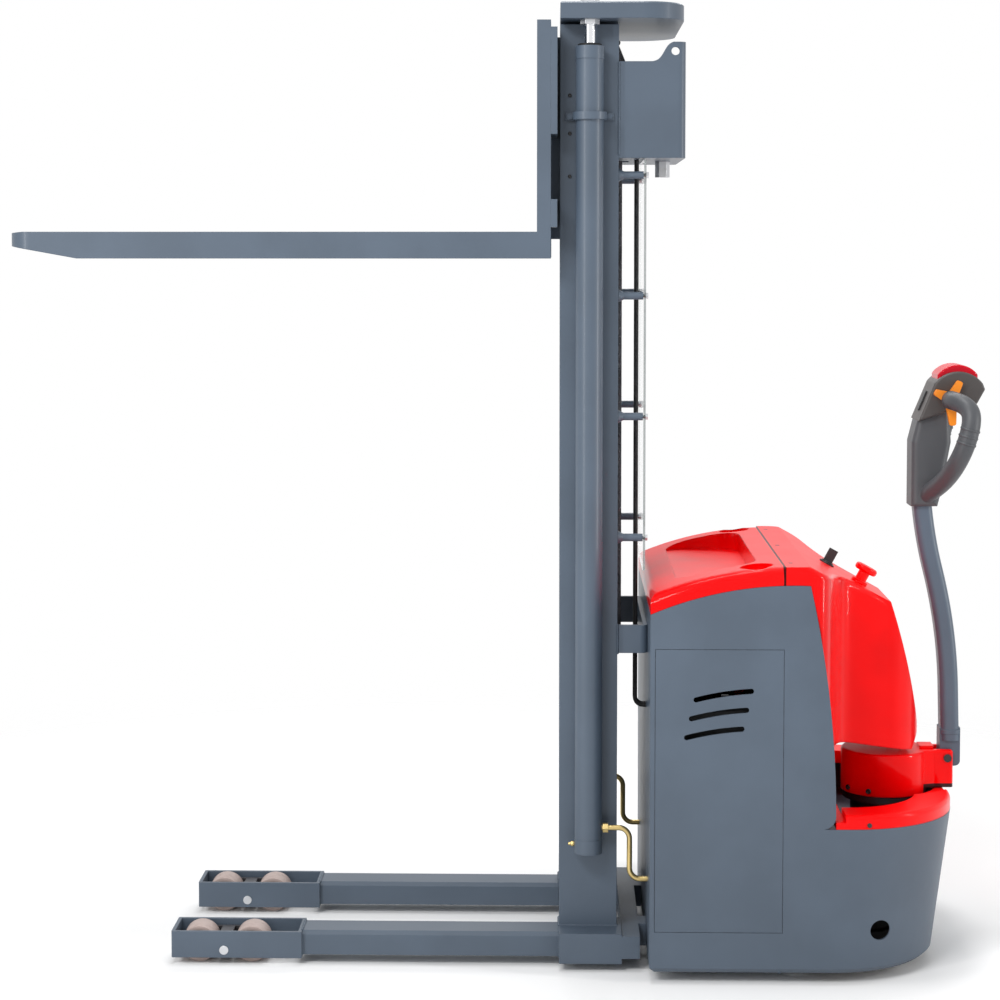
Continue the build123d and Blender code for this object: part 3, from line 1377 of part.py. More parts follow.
# Tiller arm: a tongue in the steering arm's fork and a bent tube up to the head
tongue_half_width = 21.0
tongue_front = 16.0             # tongue ahead of and behind the pivot
tongue_rear = 31.0
tongue_bottom = 404.0
tongue_top = 492.0
tongue_corner = 12.0
collar_z = 478.0                # band round the tube's foot
collar_height = 10.0
collar_proud = 1.0
tube_depth = 42.0
tube_width = 56.0
tube_corner = 14.0
tube_lead = 8.0                 # tube's axis behind the pivot
tube_lean = 3.0
tube_foot_z = 462.0
tube_straight_z = 580.0
tube_bend_z = 854.0
tube_top_z = 1020.0             # socketed in the head
tube_bend_dx = 41.0
tube_top_dx = 69.0
tube_x = pivot_x + tube_lead
with BuildPart() as tiller_arm:
    with BuildSketch(Plane.XZ) as tongue_sketch:
        with BuildLine():
            Polyline(
                (pivot_x - tongue_front, tongue_bottom),
                (pivot_x + tongue_rear, tongue_bottom),
                (pivot_x + tongue_rear, tongue_top),
                (pivot_x - tongue_front, tongue_top),
                close=True,
            )
        make_face()
        fillet(tongue_sketch.vertices().group_by(Axis.Y)[0], radius=tongue_corner)
    extrude(amount=tongue_half_width, both=True)
    with BuildLine(Plane.XZ):
        foot = Line((tube_x, tube_foot_z), (tube_x - tube_lean, tube_straight_z))
        bend = TangentArc(foot @ 1, (tube_x - tube_bend_dx, tube_bend_z), tangent=foot % 1)
        TangentArc(bend @ 1, (tube_x - tube_top_dx, tube_top_z), tangent=bend % 1)
    with BuildSketch(Plane.XY.offset(tube_foot_z)):
        with Locations((tube_x, 0)):
            RectangleRounded(tube_depth, tube_width, tube_corner)
    sweep()
    with BuildSketch(Plane.XY.offset(collar_z)):
        with Locations((tube_x - tube_lean / 4, 0)):
            RectangleRounded(
                tube_depth + 4 * collar_proud, tube_width + 2 * collar_proud, tube_corner + collar_proud
            )
    extrude(amount=collar_height)
    with BuildSketch(Plane.XZ):
        with Locations((pivot_x, pivot_z)):
            Circle(pivot_radius + running_play)
    extrude(amount=tongue_half_width, both=True, mode=Mode.SUBTRACT)

pin_head = 2.0
with BuildPart() as tiller_pin:
    with BuildSketch(Plane.XZ):
        with Locations((pivot_x, pivot_z)):
            Circle(pivot_radius)
    extrude(amount=arm_half_width + pin_head, both=True)

# Tiller console: the block on top of the head, its side view given from the rearmost point
head_rear_x = heel_x + heel_to_head
console_half_width = 60.0
console_corner = 8.0
console_edge = 5.0
console_crown = ((-114, 1284), (-62, 1311), (-5, 1284))
console_profile = ((-5, 1284), (0, 1271), (-18, 1238), (-76, 1222), (-149, 1199), (-114, 1284))
button_wall = 9.0
button_half_width = 46.0
button_gap = 0.5
button_travel = 7.0
button_sunk = 6.0
button_floor_gap = 1.0
console_top_z = 1284.0
button_recess = 114.0           # pocket's front wall ahead of the head's rear end
button_front_x = head_rear_x - button_recess + button_wall
button_rear_x = head_rear_x - 5.0 - button_wall
button_x = (button_front_x + button_rear_x) / 2
button_length = button_rear_x - button_front_x
pocket_depth = button_sunk + button_travel + button_floor_gap
throttle_lead = 80.0            # throttle axis ahead of the head's rear end
throttle_x = head_rear_x - throttle_lead
throttle_z = 1248.0
throttle_shaft_radius = 8.0
rocker_width = 24.0
rocker_length = 46.0
rocker_gap = 0.5
rocker_proud = 4.0
rocker_sunk = 5.0
rocker_pocket = 10.0
rocker_pin_radius = 2.5
rocker_pin_end = 4.0
rocker_lead = 131.5             # rocker ahead of the head's rear end
rocker_z = 1241.5
rocker_plane = Plane(
    origin=(head_rear_x - rocker_lead, 0, rocker_z),
    x_dir=(0, 1, 0),
    z_dir=(-85, 0, 35),
)
with BuildPart() as tiller_console:
    with BuildSketch(Plane.XZ) as console_sketch:
        with BuildLine():
            Polyline([(head_rear_x + dx, z) for dx, z in console_profile])
            ThreePointArc([(head_rear_x + dx, z) for dx, z in console_crown])
        make_face()
        fillet(console_sketch.vertices().sort_by(Axis.Y)[2:], radius=console_edge)
    extrude(amount=console_half_width, both=True)
    cheeks = tiller_console.faces().sort_by(Axis.Y)
    fillet(cheeks[0].edges() + cheeks[-1].edges(), radius=console_edge)
    with BuildSketch(Plane.XY.offset(console_top_z - pocket_depth)):
        with Locations((button_x, 0)):
            RectangleRounded(
                button_length + 2 * button_gap,
                2 * (button_half_width + button_gap),
                console_corner + button_gap,
            )
    extrude(amount=console_half_width, mode=Mode.SUBTRACT)
    with BuildSketch(Plane.XZ):
        with Locations((throttle_x, throttle_z)):
            Circle(throttle_shaft_radius + running_play)
    extrude(amount=console_half_width, both=True, mode=Mode.SUBTRACT)
    with BuildSketch(rocker_plane.offset(-rocker_pocket)):
        Rectangle(rocker_width + 2 * rocker_gap, rocker_length + 2 * rocker_gap)
    extrude(amount=rocker_pocket, mode=Mode.SUBTRACT)
    with BuildSketch(Plane.XZ):
        with Locations((rocker_plane.origin.X, rocker_plane.origin.Z)):
            Circle(rocker_pin_radius + running_play)
    extrude(amount=rocker_width / 2 + rocker_pin_end, both=True, mode=Mode.SUBTRACT)

# Belly button: the red cap in the console's top pocket
cap_rise = (1303.0, 1326.0)     # height of the cap's ends and of its crown
cap_edge = 4.0
with BuildPart() as belly_button:
    with BuildSketch(Plane.XZ):
        with BuildLine():
            crown = ThreePointArc(
                (button_front_x, cap_rise[0]), (button_x, cap_rise[1]), (button_rear_x, cap_rise[0])
            )
            Polyline(
                crown @ 1,
                (button_rear_x, console_top_z - button_sunk),
                (button_front_x, console_top_z - button_sunk),
                crown @ 0,
            )
        make_face()
    extrude(amount=button_half_width, both=True)
    fillet(belly_button.edges().filter_by(Axis.Z), radius=console_corner)
    fillet(belly_button.faces().sort_by(Axis.Z)[-1].outer_wire().edges(), radius=cap_edge)

# Throttle: a shaft through the console with a butterfly wing on each end
wing_gap = 1.0
wing_thickness = 13.0
wing_corner = 5.0
wing_profile = ((-38, 12), (-12, -6), (-1, -59), (13, -57), (14, 2), (28, 39), (16, 45), (-2, 18), (-32, 24))
wing_inner = console_half_width + wing_gap
grip_start = wing_inner + wing_thickness + wing_gap
shaft_end = 9.0                 # shaft carried in the grip's end
with BuildPart() as throttle:
    for side, sign in sides:
        with BuildSketch(Plane.XZ.offset(-sign * wing_inner)) as wing:
            with BuildLine():
                Polyline([(throttle_x + dx, throttle_z + dz) for dx, dz in wing_profile], close=True)
            make_face()
            fillet(wing.vertices(), radius=wing_corner)
        extrude(amount=-sign * wing_thickness)
    with BuildSketch(Plane.XZ):
        with Locations((throttle_x, throttle_z)):
            Circle(throttle_shaft_radius)
    extrude(amount=grip_start + shaft_end, both=True)

# Lift rocker: rocks on its pins in the console's front face
with BuildPart() as lift_rocker:
    with BuildSketch(rocker_plane.offset(-rocker_sunk)):
        Rectangle(rocker_width, rocker_length)
    extrude(amount=rocker_sunk + rocker_proud)
    with BuildSketch(Plane.XZ):
        with Locations((rocker_plane.origin.X, rocker_plane.origin.Z)):
            Circle(rocker_pin_radius)
    extrude(amount=rocker_width / 2 + rocker_pin_end - rocker_gap, both=True)

# Tiller head: a pillar on the arm with a looped grip on each side
pillar_half_width = 46.0
pillar_corner = 14.0
pillar_seat_z = 1199.0          # foremost edge of the console's seat
pillar_profile = ((-161, 1003), (-161, 1150), (-149, 1199), (-76, 1222), (-72, 1150), (-92, 1040), (-101, 1003))
grip_radius = 21.0
grip_straight = 14.0
grip_path = ((-50, 152, 1226), (-52, 163, 1186), (-72, 150, 1122), (-100, 88, 1062), (-130, 20, 1024))
grip_entry = (0.5, 1.3, 0.6)    # direction in which the loop runs into the pillar
shaft_seat = shaft_end + 1.0
with BuildPart() as tiller_head:
    with BuildSketch(Plane.XZ):
        with BuildLine():
            Polyline([(head_rear_x + dx, z) for dx, z in pillar_profile], close=True)
        make_face()
    extrude(amount=pillar_half_width, both=True)
    for rank in (0, -1):
        face_edges = tiller_head.edges().group_by(Axis.Y)[rank]
        fillet(face_edges.filter_by(lambda e: e.center().Z < pillar_seat_z), radius=pillar_corner)
    for side, sign in sides:
        with BuildLine():
            start = Line(
                (throttle_x, sign * grip_start, throttle_z),
                (throttle_x, sign * (grip_start + grip_straight), throttle_z),
            )
            Spline(
                [start @ 1] + [(head_rear_x + dx, sign * y, z) for dx, y, z in grip_path],
                tangents=((0, sign, 0), (-grip_entry[0], -sign * grip_entry[1], -grip_entry[2])),
                tangent_scalars=(1, 1),
            )
        with BuildSketch(Plane(origin=start @ 0, z_dir=(0, sign, 0))):
            Circle(grip_radius)
        sweep()
        with BuildSketch(Plane(origin=start @ 0, z_dir=(0, sign, 0))):
            Circle(throttle_shaft_radius + running_play)
        extrude(amount=shaft_seat, mode=Mode.SUBTRACT)
    add(tiller_arm.part, mode=Mode.SUBTRACT)

# Every piece under its name
pieces = {
    "bogie_near": bogie_parts["near"],
    "bogie_far": bogie_parts["far"],
    "bogie_pins": bogie_pins,
    "outer_mast_rails": outer_mast_rails,
    "mast_top_tie": mast_top_tie,
    "mast_ties": mast_ties,
    "lift_cylinders": lift_cylinders,
    "cylinder_clamps": cylinder_clamps,
    "guard_panel": guard_panel,
    "guard_brackets": guard_brackets,
    "hex_bolts": hex_bolts,
    "lift_pipes": lift_pipes,
    "mast_hoses": mast_hoses,
    "inner_mast_rails": inner_mast_rails,
    "mast_head_plate": mast_head_plate,
    "cylinder_rods": cylinder_rods,
    "rod_nuts": rod_nuts,
    "inner_mast_rollers": inner_mast_rollers,
    "free_lift_cylinder": free_lift_cylinder,
    "free_lift_rod": free_lift_rod,
    "crosshead": crosshead,
    "chain_sheave": chain_sheave,
    "lift_chain_turn": lift_chain_turn,
    "lift_chain_rear": lift_chain_rear,
    "lift_chain_front": lift_chain_front,
    "carriage_frame": carriage_frame,
    "carriage_rollers": carriage_rollers,
    "base_legs": base_legs,
    "forks": forks,
    "chassis": chassis,
    "side_door": side_door,
    "battery_cover": battery_cover,
    "rear_cover": rear_cover,
    "deck_cover": deck_cover,
    "cover_screws": cover_screws,
    "key_switch": key_switch,
    "key": key,
    "stop_collar": stop_collar,
    "stop_button": stop_button,
    "battery": battery,
    "hydraulic_unit": hydraulic_unit,
    "motor_controller": motor_controller,
    "drive_unit": drive_unit,
    "drive_wheel": drive_wheel,
    "caster_near": caster_parts["near"],
    "caster_far": caster_parts["far"],
    "caster_wheel_near": caster_wheel_parts["near"],
    "caster_wheel_far": caster_wheel_parts["far"],
    "steering_head": steering_head,
    "tiller_arm": tiller_arm,
    "tiller_pin": tiller_pin,
    "tiller_head": tiller_head,
    "tiller_console": tiller_console,
    "belly_button": belly_button,
    "throttle": throttle,
    "lift_rocker": lift_rocker,
}
pieces.update(roller_parts)
for name, piece in pieces.items():
    piece.part.label = name
    export_step(piece.part, f"parts/{name}.step")
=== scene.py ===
"""Looks of the electric stacker: finishes, small pieces, stage and camera."""
from math import cos, pi, radians, sin

import bpy
from bpy.props import FloatProperty, FloatVectorProperty, PointerProperty
from mathutils import Matrix, Vector


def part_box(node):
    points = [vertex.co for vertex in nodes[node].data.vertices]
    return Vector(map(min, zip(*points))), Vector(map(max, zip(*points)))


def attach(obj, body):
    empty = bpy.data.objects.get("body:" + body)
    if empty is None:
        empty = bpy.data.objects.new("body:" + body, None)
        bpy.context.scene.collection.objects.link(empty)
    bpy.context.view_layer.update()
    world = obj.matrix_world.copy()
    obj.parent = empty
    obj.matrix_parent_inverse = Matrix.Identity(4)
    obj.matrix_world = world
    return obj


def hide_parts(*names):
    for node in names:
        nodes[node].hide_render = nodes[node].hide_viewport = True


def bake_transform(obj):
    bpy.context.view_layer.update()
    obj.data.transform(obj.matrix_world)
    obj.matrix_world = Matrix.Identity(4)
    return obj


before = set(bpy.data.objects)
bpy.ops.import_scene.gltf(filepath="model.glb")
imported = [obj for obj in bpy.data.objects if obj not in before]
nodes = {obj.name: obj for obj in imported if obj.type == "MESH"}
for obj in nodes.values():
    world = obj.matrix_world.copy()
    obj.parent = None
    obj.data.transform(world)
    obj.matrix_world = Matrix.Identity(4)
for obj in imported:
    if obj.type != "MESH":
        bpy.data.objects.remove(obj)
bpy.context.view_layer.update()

bl_info = {
    "name": "Electric stacker looks",
    "version": (1, 0, 0),
    "blender": (4, 5, 0),
    "location": "3D View > Sidebar > Stacker",
    "description": "Finishes, small pieces and stage of an electric stacker",
    "category": "Object",
}


def srgb(red, green, blue):
    """Linear colour of a screen colour given from 0 to 255."""
    def linear(value):
        value = value / 255
        return value / 12.92 if value <= 0.04045 else ((value + 0.055) / 1.055) ** 2.4
    return (linear(red), linear(green), linear(blue))


def colour_property(name, description, default):
    return FloatVectorProperty(
        name=name, description=description, default=default, size=3, min=0, max=1, subtype="COLOR"
    )


def length_property(name, description, default):
    return FloatProperty(name=name, description=description, default=default, min=0, subtype="DISTANCE", unit="LENGTH")


class StackerColours(bpy.types.PropertyGroup):
    """Colours of the truck's finishes."""
    paint: colour_property("Paint", "Blue-grey paint of the mast, forks and chassis", srgb(81, 94, 109))
    cover: colour_property("Covers", "Glossy red covers", srgb(246, 2, 5))
    head: colour_property("Tiller head", "Dark grey plastic of the head", srgb(72, 74, 78))
    console: colour_property("Console", "Warm grey plastic of the console", srgb(68, 64, 63))
    throttle: colour_property("Throttle", "Orange thumb wings", srgb(246, 142, 28))
    tread: colour_property("Tread", "Polyurethane tread of the load rollers", srgb(176, 158, 152))
    hub: colour_property("Hub", "Dark red hubs of the load rollers", srgb(104, 40, 44))
    button: colour_property("Button", "Crimson button on the tiller", srgb(196, 12, 34))
    panel: colour_property("Panel", "Tint of the clear guard panel", srgb(236, 242, 244))


class StackerSizes(bpy.types.PropertyGroup):
    """Sizes and places of the small pieces."""
    bead: length_property("Weld bead", "Half width of a weld seam", 0.0034)
    rail_flange: length_property("Rail flange", "Width of the outer rail's flange", 0.062)
    mid_tie: length_property("Middle tie", "Height of the middle tie's lower edge", 0.696)
    mid_tie_height: length_property("Middle tie height", "Height of the middle tie", 0.062)
    leg_middle: length_property("Leg place", "A leg's distance from the truck's middle", 0.1975)
    beam_width: length_property("Leg beam", "Width of a leg's beam", 0.090)
    beam_bottom: length_property("Beam underside", "Height of a leg beam's underside", 0.022)
    wheel_box: length_property("Wheel box", "Length of a leg's wheel box", 0.290)
    plug_x: length_property("Rail plugs", "Place of the rail plugs along the truck", 0.141)
    plug_heights: FloatVectorProperty(
        name="Plug heights", description="Heights of the rail plugs", default=(1.839, 1.746, 1.922), size=3
    )
    grip_radius: length_property("Grip", "Radius of the looped grips", 0.021)
    grip_middle: FloatVectorProperty(
        name="Grip ribs", description="Middle of the near grip's ribs", default=(1.0260, -0.1632, 1.178), size=3,
        subtype="XYZ",
    )
    grip_way: FloatVectorProperty(
        name="Grip way", description="Direction of the near grip at its ribs", default=(-0.26, 0.03, -0.965), size=3,
        subtype="DIRECTION",
    )


class StackerStage(bpy.types.PropertyGroup):
    """Camera, surrounding light and floor."""
    camera: FloatVectorProperty(
        name="Camera", description="Place of the camera", default=(0.111, -5.296, 1.593), size=3, subtype="XYZ"
    )
    focal: FloatProperty(name="Focal length", description="Lens on a 36 mm sensor", default=83.35, min=10)
    pitch: FloatProperty(name="Pitch", description="Downward tilt", default=radians(3.30), subtype="ANGLE")
    yaw: FloatProperty(name="Yaw", description="Turn to the left", default=radians(1.38), subtype="ANGLE")
    shift_y: FloatProperty(name="Shift Y", description="Upward lens shift", default=-0.12)
    surround: FloatProperty(name="Surround", description="Level of the soft light from all round", default=0.45, min=0)
    floor_fade: length_property("Floor fade", "Distance at which the floor has faded out", 3.2)


class Wire:
    """A node's output that can stand in a sum."""

    def __init__(self, finish, socket):
        self.finish = finish
        self.socket = socket

    def math(self, operation, *others):
        values = (self,) + others
        return self.finish.node("ShaderNodeMath", {"operation": operation}, dict(enumerate(values)))

    def __add__(self, other):
        return self.math("ADD", other)

    def __radd__(self, other):
        return self.math("ADD", other)

    def __sub__(self, other):
        return self.math("SUBTRACT", other)

    def __rsub__(self, other):
        return self.finish.node("ShaderNodeMath", {"operation": "SUBTRACT"}, {0: other, 1: self})

    def __mul__(self, other):
        return self.math("MULTIPLY", other)

    def __rmul__(self, other):
        return self.math("MULTIPLY", other)

    def ramp(self, low, high, start=0.0, end=1.0):
        """This value's way from low to high, as a smooth step from start to end."""
        return self.finish.node(
            "ShaderNodeMapRange",
            {"interpolation_type": "SMOOTHSTEP"},
            {"Value": self, "From Min": low, "From Max": high, "To Min": start, "To Max": end},
        )


class Finish:
    """One material with its principled shader."""

    def __init__(self, name, **constants):
        self.material = bpy.data.materials.new(name)
        self.material.use_nodes = True
        self.tree = self.material.node_tree
        self.shader = self.tree.nodes["Principled BSDF"]
        self.set(**constants)

    def feed(self, socket, value):
        """Links a wire to the socket, or sets the socket's own value."""
        if isinstance(value, Wire):
            self.tree.links.new(value.socket, socket)
        else:
            socket.default_value = value

    def set(self, **values):
        """Values or wires for the shader's sockets, named with underscores for spaces."""
        for name, value in values.items():
            self.feed(self.shader.inputs[name.replace("_", " ")], value)

    def node(self, kind, settings=None, inputs=None, out=0):
        """Makes a node with these settings and inputs; gives one of its outputs."""
        made = self.tree.nodes.new(kind)
        for name, value in (settings or {}).items():
            setattr(made, name, value)
        for key, value in (inputs or {}).items():
            self.feed(made.inputs[key], value)
        return Wire(self, made.outputs[out])

    def place(self):
        return self.node("ShaderNodeTexCoord", out="Object")

    def axis(self, letter):
        return self.node("ShaderNodeSeparateXYZ", inputs={0: self.place()}, out=letter)

    def noise(self, scale, detail=3.0, rough=0.5, where=None):
        return self.node(
            "ShaderNodeTexNoise",
            inputs={"Vector": where or self.place(), "Scale": scale, "Detail": detail, "Roughness": rough},
        )

    def stretch(self, x, y, z):
        """Object coordinates scaled along each axis."""
        return self.node("ShaderNodeMapping", inputs={"Vector": self.place(), "Scale": (x, y, z)})

    def mix(self, factor, first, second):
        """A colour on the way from first to second."""
        colours = [value if isinstance(value, Wire) else (*value[:3], 1.0) for value in (first, second)]
        inputs = {0: factor, 6: colours[0], 7: colours[1]}
        return self.node("ShaderNodeMix", {"data_type": "RGBA"}, inputs, out=2)

    def bevel(self, radius):
        return self.node("ShaderNodeBevel", {"samples": 4}, {"Radius": radius})

    def bump(self, height, distance, strength, normal):
        return self.node(
            "ShaderNodeBump", inputs={"Height": height, "Distance": distance, "Strength": strength, "Normal": normal}
        )

    def edges(self, radius):
        """One along sharp edges, zero on flat faces."""
        flat = self.node("ShaderNodeNewGeometry", out="Normal")
        turn = self.node(
            "ShaderNodeVectorMath", {"operation": "DOT_PRODUCT"}, {0: self.bevel(radius), 1: flat}, out="Value"
        )
        return turn.ramp(0.995, 0.9)


def shade(colour, factor):
    """The colour made darker or lighter."""
    return tuple(min(1.0, channel * factor) for channel in colour[:3])


finishes = {}
zinc = (0.62, 0.63, 0.65)


def painted(name, colour, rough=0.34):
    """Sprayed enamel: orange peel, faint mottling, worn edges, and low down a painted shade that darkens the colour,
    with grime that roughens the gloss.
    """
    rounding = 0.0025
    wear = 0.35
    finish = Finish(name, Specular_IOR_Level=0.45, Coat_Roughness=0.2)
    mottle = finish.noise(6.0, 4.0)
    grain = finish.noise(900.0, 2.0)
    edge = finish.edges(rounding) * finish.noise(45.0, 4.0).ramp(0.45, 0.62)
    # low_shade_and_grime rises towards the bottom, broken by noise: it darkens the colour there as a painted shade,
    # and makes the paint rougher and less glossy as grime.
    low_shade_and_grime = finish.axis("Z").ramp(0.75, 0.05) * finish.noise(5.0, 5.0).ramp(0.0, 0.9, 0.55, 1.0)
    base = finish.mix(mottle.ramp(0.3, 0.7), shade(colour, 0.93), shade(colour, 1.07))
    base = finish.mix(edge * wear, base, shade(colour, 1.75))
    # painted shade: the colour darkened towards the bottom
    base = finish.mix(low_shade_and_grime * 0.32, base, shade(colour, 0.35))
    finish.set(
        Base_Color=base,
        Roughness=rough + 0.10 * grain + 0.12 * mottle + low_shade_and_grime * 0.1,
        Coat_Weight=0.18 - low_shade_and_grime * 0.12,
        Normal=finish.bump(finish.noise(420.0, 2.0), 0.0002, 0.35, finish.bevel(rounding)),
    )
    return finish.material


def moulded(name, colour, rough=0.42, pebble=1300.0, depth=0.00012):
    """Moulded plastic with a pebbled skin."""
    finish = Finish(name, Specular_IOR_Level=0.5)
    tone = finish.noise(9.0, 3.0)
    finish.set(
        Base_Color=finish.mix(tone.ramp(0.3, 0.7), shade(colour, 0.92), shade(colour, 1.08)),
        Roughness=rough + 0.12 * finish.noise(30.0, 4.0),
        Normal=finish.bump(finish.noise(pebble, 2.0), depth, 0.6, finish.bevel(0.002)),
    )
    return finish.material


def glossy(name, colour, rounding=0.006, under=None, seam=None):
    """Glossy lacquered cover with a clear coat, a faint ripple and dust specks.

    under gives a height and a station: what lies below and behind them is left black.
    seam is the station of a joint line that gathers dirt.
    """
    finish = Finish(
        name, Coat_Roughness=0.06, Coat_IOR=1.5, Specular_IOR_Level=0.4, Specular_Tint=(*shade(colour, 0.9), 1.0)
    )
    ripple = finish.noise(7.0, 2.0)
    specks = finish.noise(260.0, 3.0).ramp(0.62, 0.75)
    facing = finish.node("ShaderNodeNewGeometry", out="Normal")
    upward = finish.node("ShaderNodeSeparateXYZ", inputs={0: facing}, out="Z").ramp(0.55, 0.95)
    base = finish.mix(ripple.ramp(0.3, 0.7), shade(colour, 0.94), shade(colour, 1.05))
    if under:
        height, station = under
        low = finish.axis("Z").ramp(height, height - 0.002) * finish.axis("X").ramp(station, station + 0.002)
        base = finish.mix(low, base, (0.012, 0.012, 0.013))
    if seam:
        joint = (finish.axis("X") - seam).math("ABSOLUTE").ramp(0.0032, 0.0018)
        base = finish.mix(joint, base, (0.05, 0.0, 0.001))
    finish.set(
        Base_Color=finish.mix(specks * 0.02, base, (0.8, 0.3, 0.3)),
        Roughness=0.26 + 0.08 * ripple + specks * 0.1 + upward * 0.12,
        Coat_Weight=0.28 - 0.25 * upward,
        Normal=finish.bump(finish.noise(60.0, 2.0), 0.0006, 0.06, finish.bevel(rounding)),
    )
    return finish.material


def metal(name, colour, rough, grain=(60.0, 60.0, 900.0), stain=0.0, aloft=None):
    """Bare metal with drawn lines along one axis; aloft is the colour of what lies high on the mast."""
    finish = Finish(name, Metallic=1.0)
    lines = finish.noise(1.0, 3.0, 0.6, finish.stretch(*grain))
    dirt = finish.noise(25.0, 5.0).ramp(0.45, 0.75)
    base = colour
    if aloft:
        base = finish.mix(finish.axis("Z").ramp(1.2, 1.3), base, aloft)
    finish.set(
        Base_Color=finish.mix(dirt * stain, base, shade(colour, 0.35)),
        Roughness=rough + 0.12 * lines + dirt * stain * 0.3,
        Normal=finish.bump(lines, 0.0001, 0.25, finish.bevel(0.0012)),
    )
    return finish.material


def sprayed_bolts(name, colour, paint, reach):
    """Bare bolts; those in front of the station called reach were sprayed over with the mast's paint."""
    finish = Finish(name, Specular_IOR_Level=0.45)
    front = finish.axis("X").ramp(reach, reach - 0.004)
    speckle = finish.noise(300.0, 3.0)
    finish.set(
        Base_Color=finish.mix(front, colour, shade(paint, 1.15)),
        Metallic=1.0 - front,
        Roughness=0.24 + 0.12 * speckle + front * 0.1,
        Normal=finish.bump(speckle, 0.0001, 0.3, finish.bevel(0.0012)),
    )
    return finish.material


def rubbery(name, colour, rough=0.6):
    """Rubber or polyurethane, with scuffs and a fine grain."""
    finish = Finish(name, Specular_IOR_Level=0.35)
    scuff = finish.noise(70.0, 5.0).ramp(0.5, 0.72)
    finish.set(
        Base_Color=finish.mix(scuff * 0.4, colour, shade(colour, 0.72)),
        Roughness=rough + 0.2 * scuff,
        Normal=finish.bump(finish.noise(500.0, 3.0), 0.0002, 0.4, finish.bevel(0.0015)),
    )
    return finish.material


def clear(name, colour):
    """Clear sheet: mostly see-through, with faint wipe marks and dark cut edges."""
    finish = Finish(name, IOR=1.45, Transmission_Weight=1.0, Coat_Weight=0.2)
    smear = finish.noise(1.0, 4.0, 0.6, finish.stretch(3.0, 9.0, 2.0)).ramp(0.45, 0.8)
    facing = finish.node("ShaderNodeSeparateXYZ", inputs={0: finish.node("ShaderNodeNewGeometry", out="Normal")})
    cut = facing.math("ABSOLUTE").ramp(0.8, 0.3)
    finish.set(
        Base_Color=finish.mix(cut, colour, (0.10, 0.12, 0.12)),
        Roughness=0.03 + 0.10 * smear,
        Alpha=0.30 + 0.10 * smear + cut * 0.5,
    )
    return finish.material


def dress(names, material):
    """Gives CAD nodes their finish."""
    for name in names:
        slots = nodes[name].data.materials
        slots.clear()
        slots.append(material)


class STACKER_OT_finishes(bpy.types.Operator):
    """Make the finishes and give each solid its own"""
    bl_idname = "stacker.finishes"
    bl_label = "Finishes"

    def execute(self, context):
        colours = context.scene.stacker_colours
        paint = finishes["paint"] = painted("grey_enamel", colours.paint)
        red = glossy("red_lacquer", colours.cover, seam=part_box("battery_cover")[1].x)
        finishes["red_soft"] = glossy("red_gloss_small", colours.cover, 0.0025)
        head = finishes["head"] = moulded("head_plastic", colours.head)
        console = moulded("console_plastic", colours.console)
        orange = moulded("throttle_plastic", colours.throttle, 0.38, 900.0, 0.00005)
        black = finishes["black"] = moulded("black_plastic", (0.018, 0.018, 0.02), 0.4)
        steel = finishes["steel"] = metal("bright_steel", zinc, 0.24)
        chrome = metal("chromed_rod", (0.80, 0.81, 0.83), 0.06, (400.0, 400.0, 30.0))
        dark = finishes["dark"] = metal("oiled_steel", (0.10, 0.10, 0.11), 0.38, stain=0.6)
        brass = metal("yellow_zinc", (0.62, 0.47, 0.20), 0.24, stain=0.2, aloft=(0.50, 0.51, 0.53))
        finishes["brass"] = brass
        rubber = finishes["rubber"] = rubbery("hose_rubber", (0.016, 0.016, 0.017))
        tread = finishes["tread"] = rubbery("polyurethane_tread", colours.tread, 0.5)
        finishes["hub"] = painted("hub_enamel", colours.hub, 0.4)
        case = finishes["case"] = moulded("battery_case", (0.03, 0.032, 0.035), 0.5)
        panel = clear("clear_panel", colours.panel)
        dress(
            ("base_legs", "outer_mast_rails", "mast_top_tie", "mast_ties", "lift_cylinders", "guard_brackets",
             "chassis", "side_door", "inner_mast_rails", "mast_head_plate", "carriage_frame", "forks",
             "cylinder_clamps", "tiller_arm", "free_lift_cylinder"),
            paint,
        )
        dress(("rear_cover", "battery_cover", "deck_cover"), red)
        arm_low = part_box("steering_head")[0].z + 0.021
        arm_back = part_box("chassis")[1].x - 0.048
        dress(("steering_head",), glossy("red_arm_lacquer", colours.cover, under=(arm_low, arm_back)))
        dress(("stop_button", "stop_collar"), finishes["red_soft"])
        dress(("belly_button",), glossy("crimson_button", colours.button, 0.003))
        dress(("bogie_pins", "rod_nuts"), steel)
        mast_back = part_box("outer_mast_rails")[1].x
        dress(("hex_bolts",), sprayed_bolts("mast_bolts", zinc, colours.paint, mast_back))
        dress(("cylinder_rods", "free_lift_rod"), chrome)
        dress(
            ("inner_mast_rollers", "carriage_rollers", "crosshead", "chain_sheave", "lift_chain_turn",
             "lift_chain_rear", "lift_chain_front", "bogie_near", "bogie_far", "drive_unit", "caster_near",
             "caster_far"),
            dark,
        )
        dress(("lift_pipes",), brass)
        dress(("mast_hoses", "drive_wheel"), rubber)
        dress(
            ("caster_wheel_near", "caster_wheel_far", "load_roller_near_front", "load_roller_near_rear",
             "load_roller_far_front", "load_roller_far_rear"),
            tread,
        )
        dress(("battery",), case)
        dress(
            ("cover_screws", "tiller_pin", "key", "key_switch", "motor_controller", "hydraulic_unit", "lift_rocker"),
            black,
        )
        dress(("tiller_head",), head)
        dress(("tiller_console",), console)
        dress(("throttle",), orange)
        dress(("guard_panel",), panel)
        for node in nodes.values():
            select_only(node)
            bpy.ops.object.shade_smooth_by_angle(angle=radians(32))
        return {"FINISHED"}


def select_only(piece):
    """Makes the piece the only thing that operators act on."""
    bpy.ops.object.select_all(action="DESELECT")
    piece.select_set(True)
    bpy.context.view_layer.objects.active = piece


def start(piece, name):
    """Names a new primitive and puts its place into its mesh."""
    piece.name = name
    piece.data.name = name
    select_only(piece)
    bpy.ops.object.transform_apply(location=True, rotation=True, scale=True)
    return piece


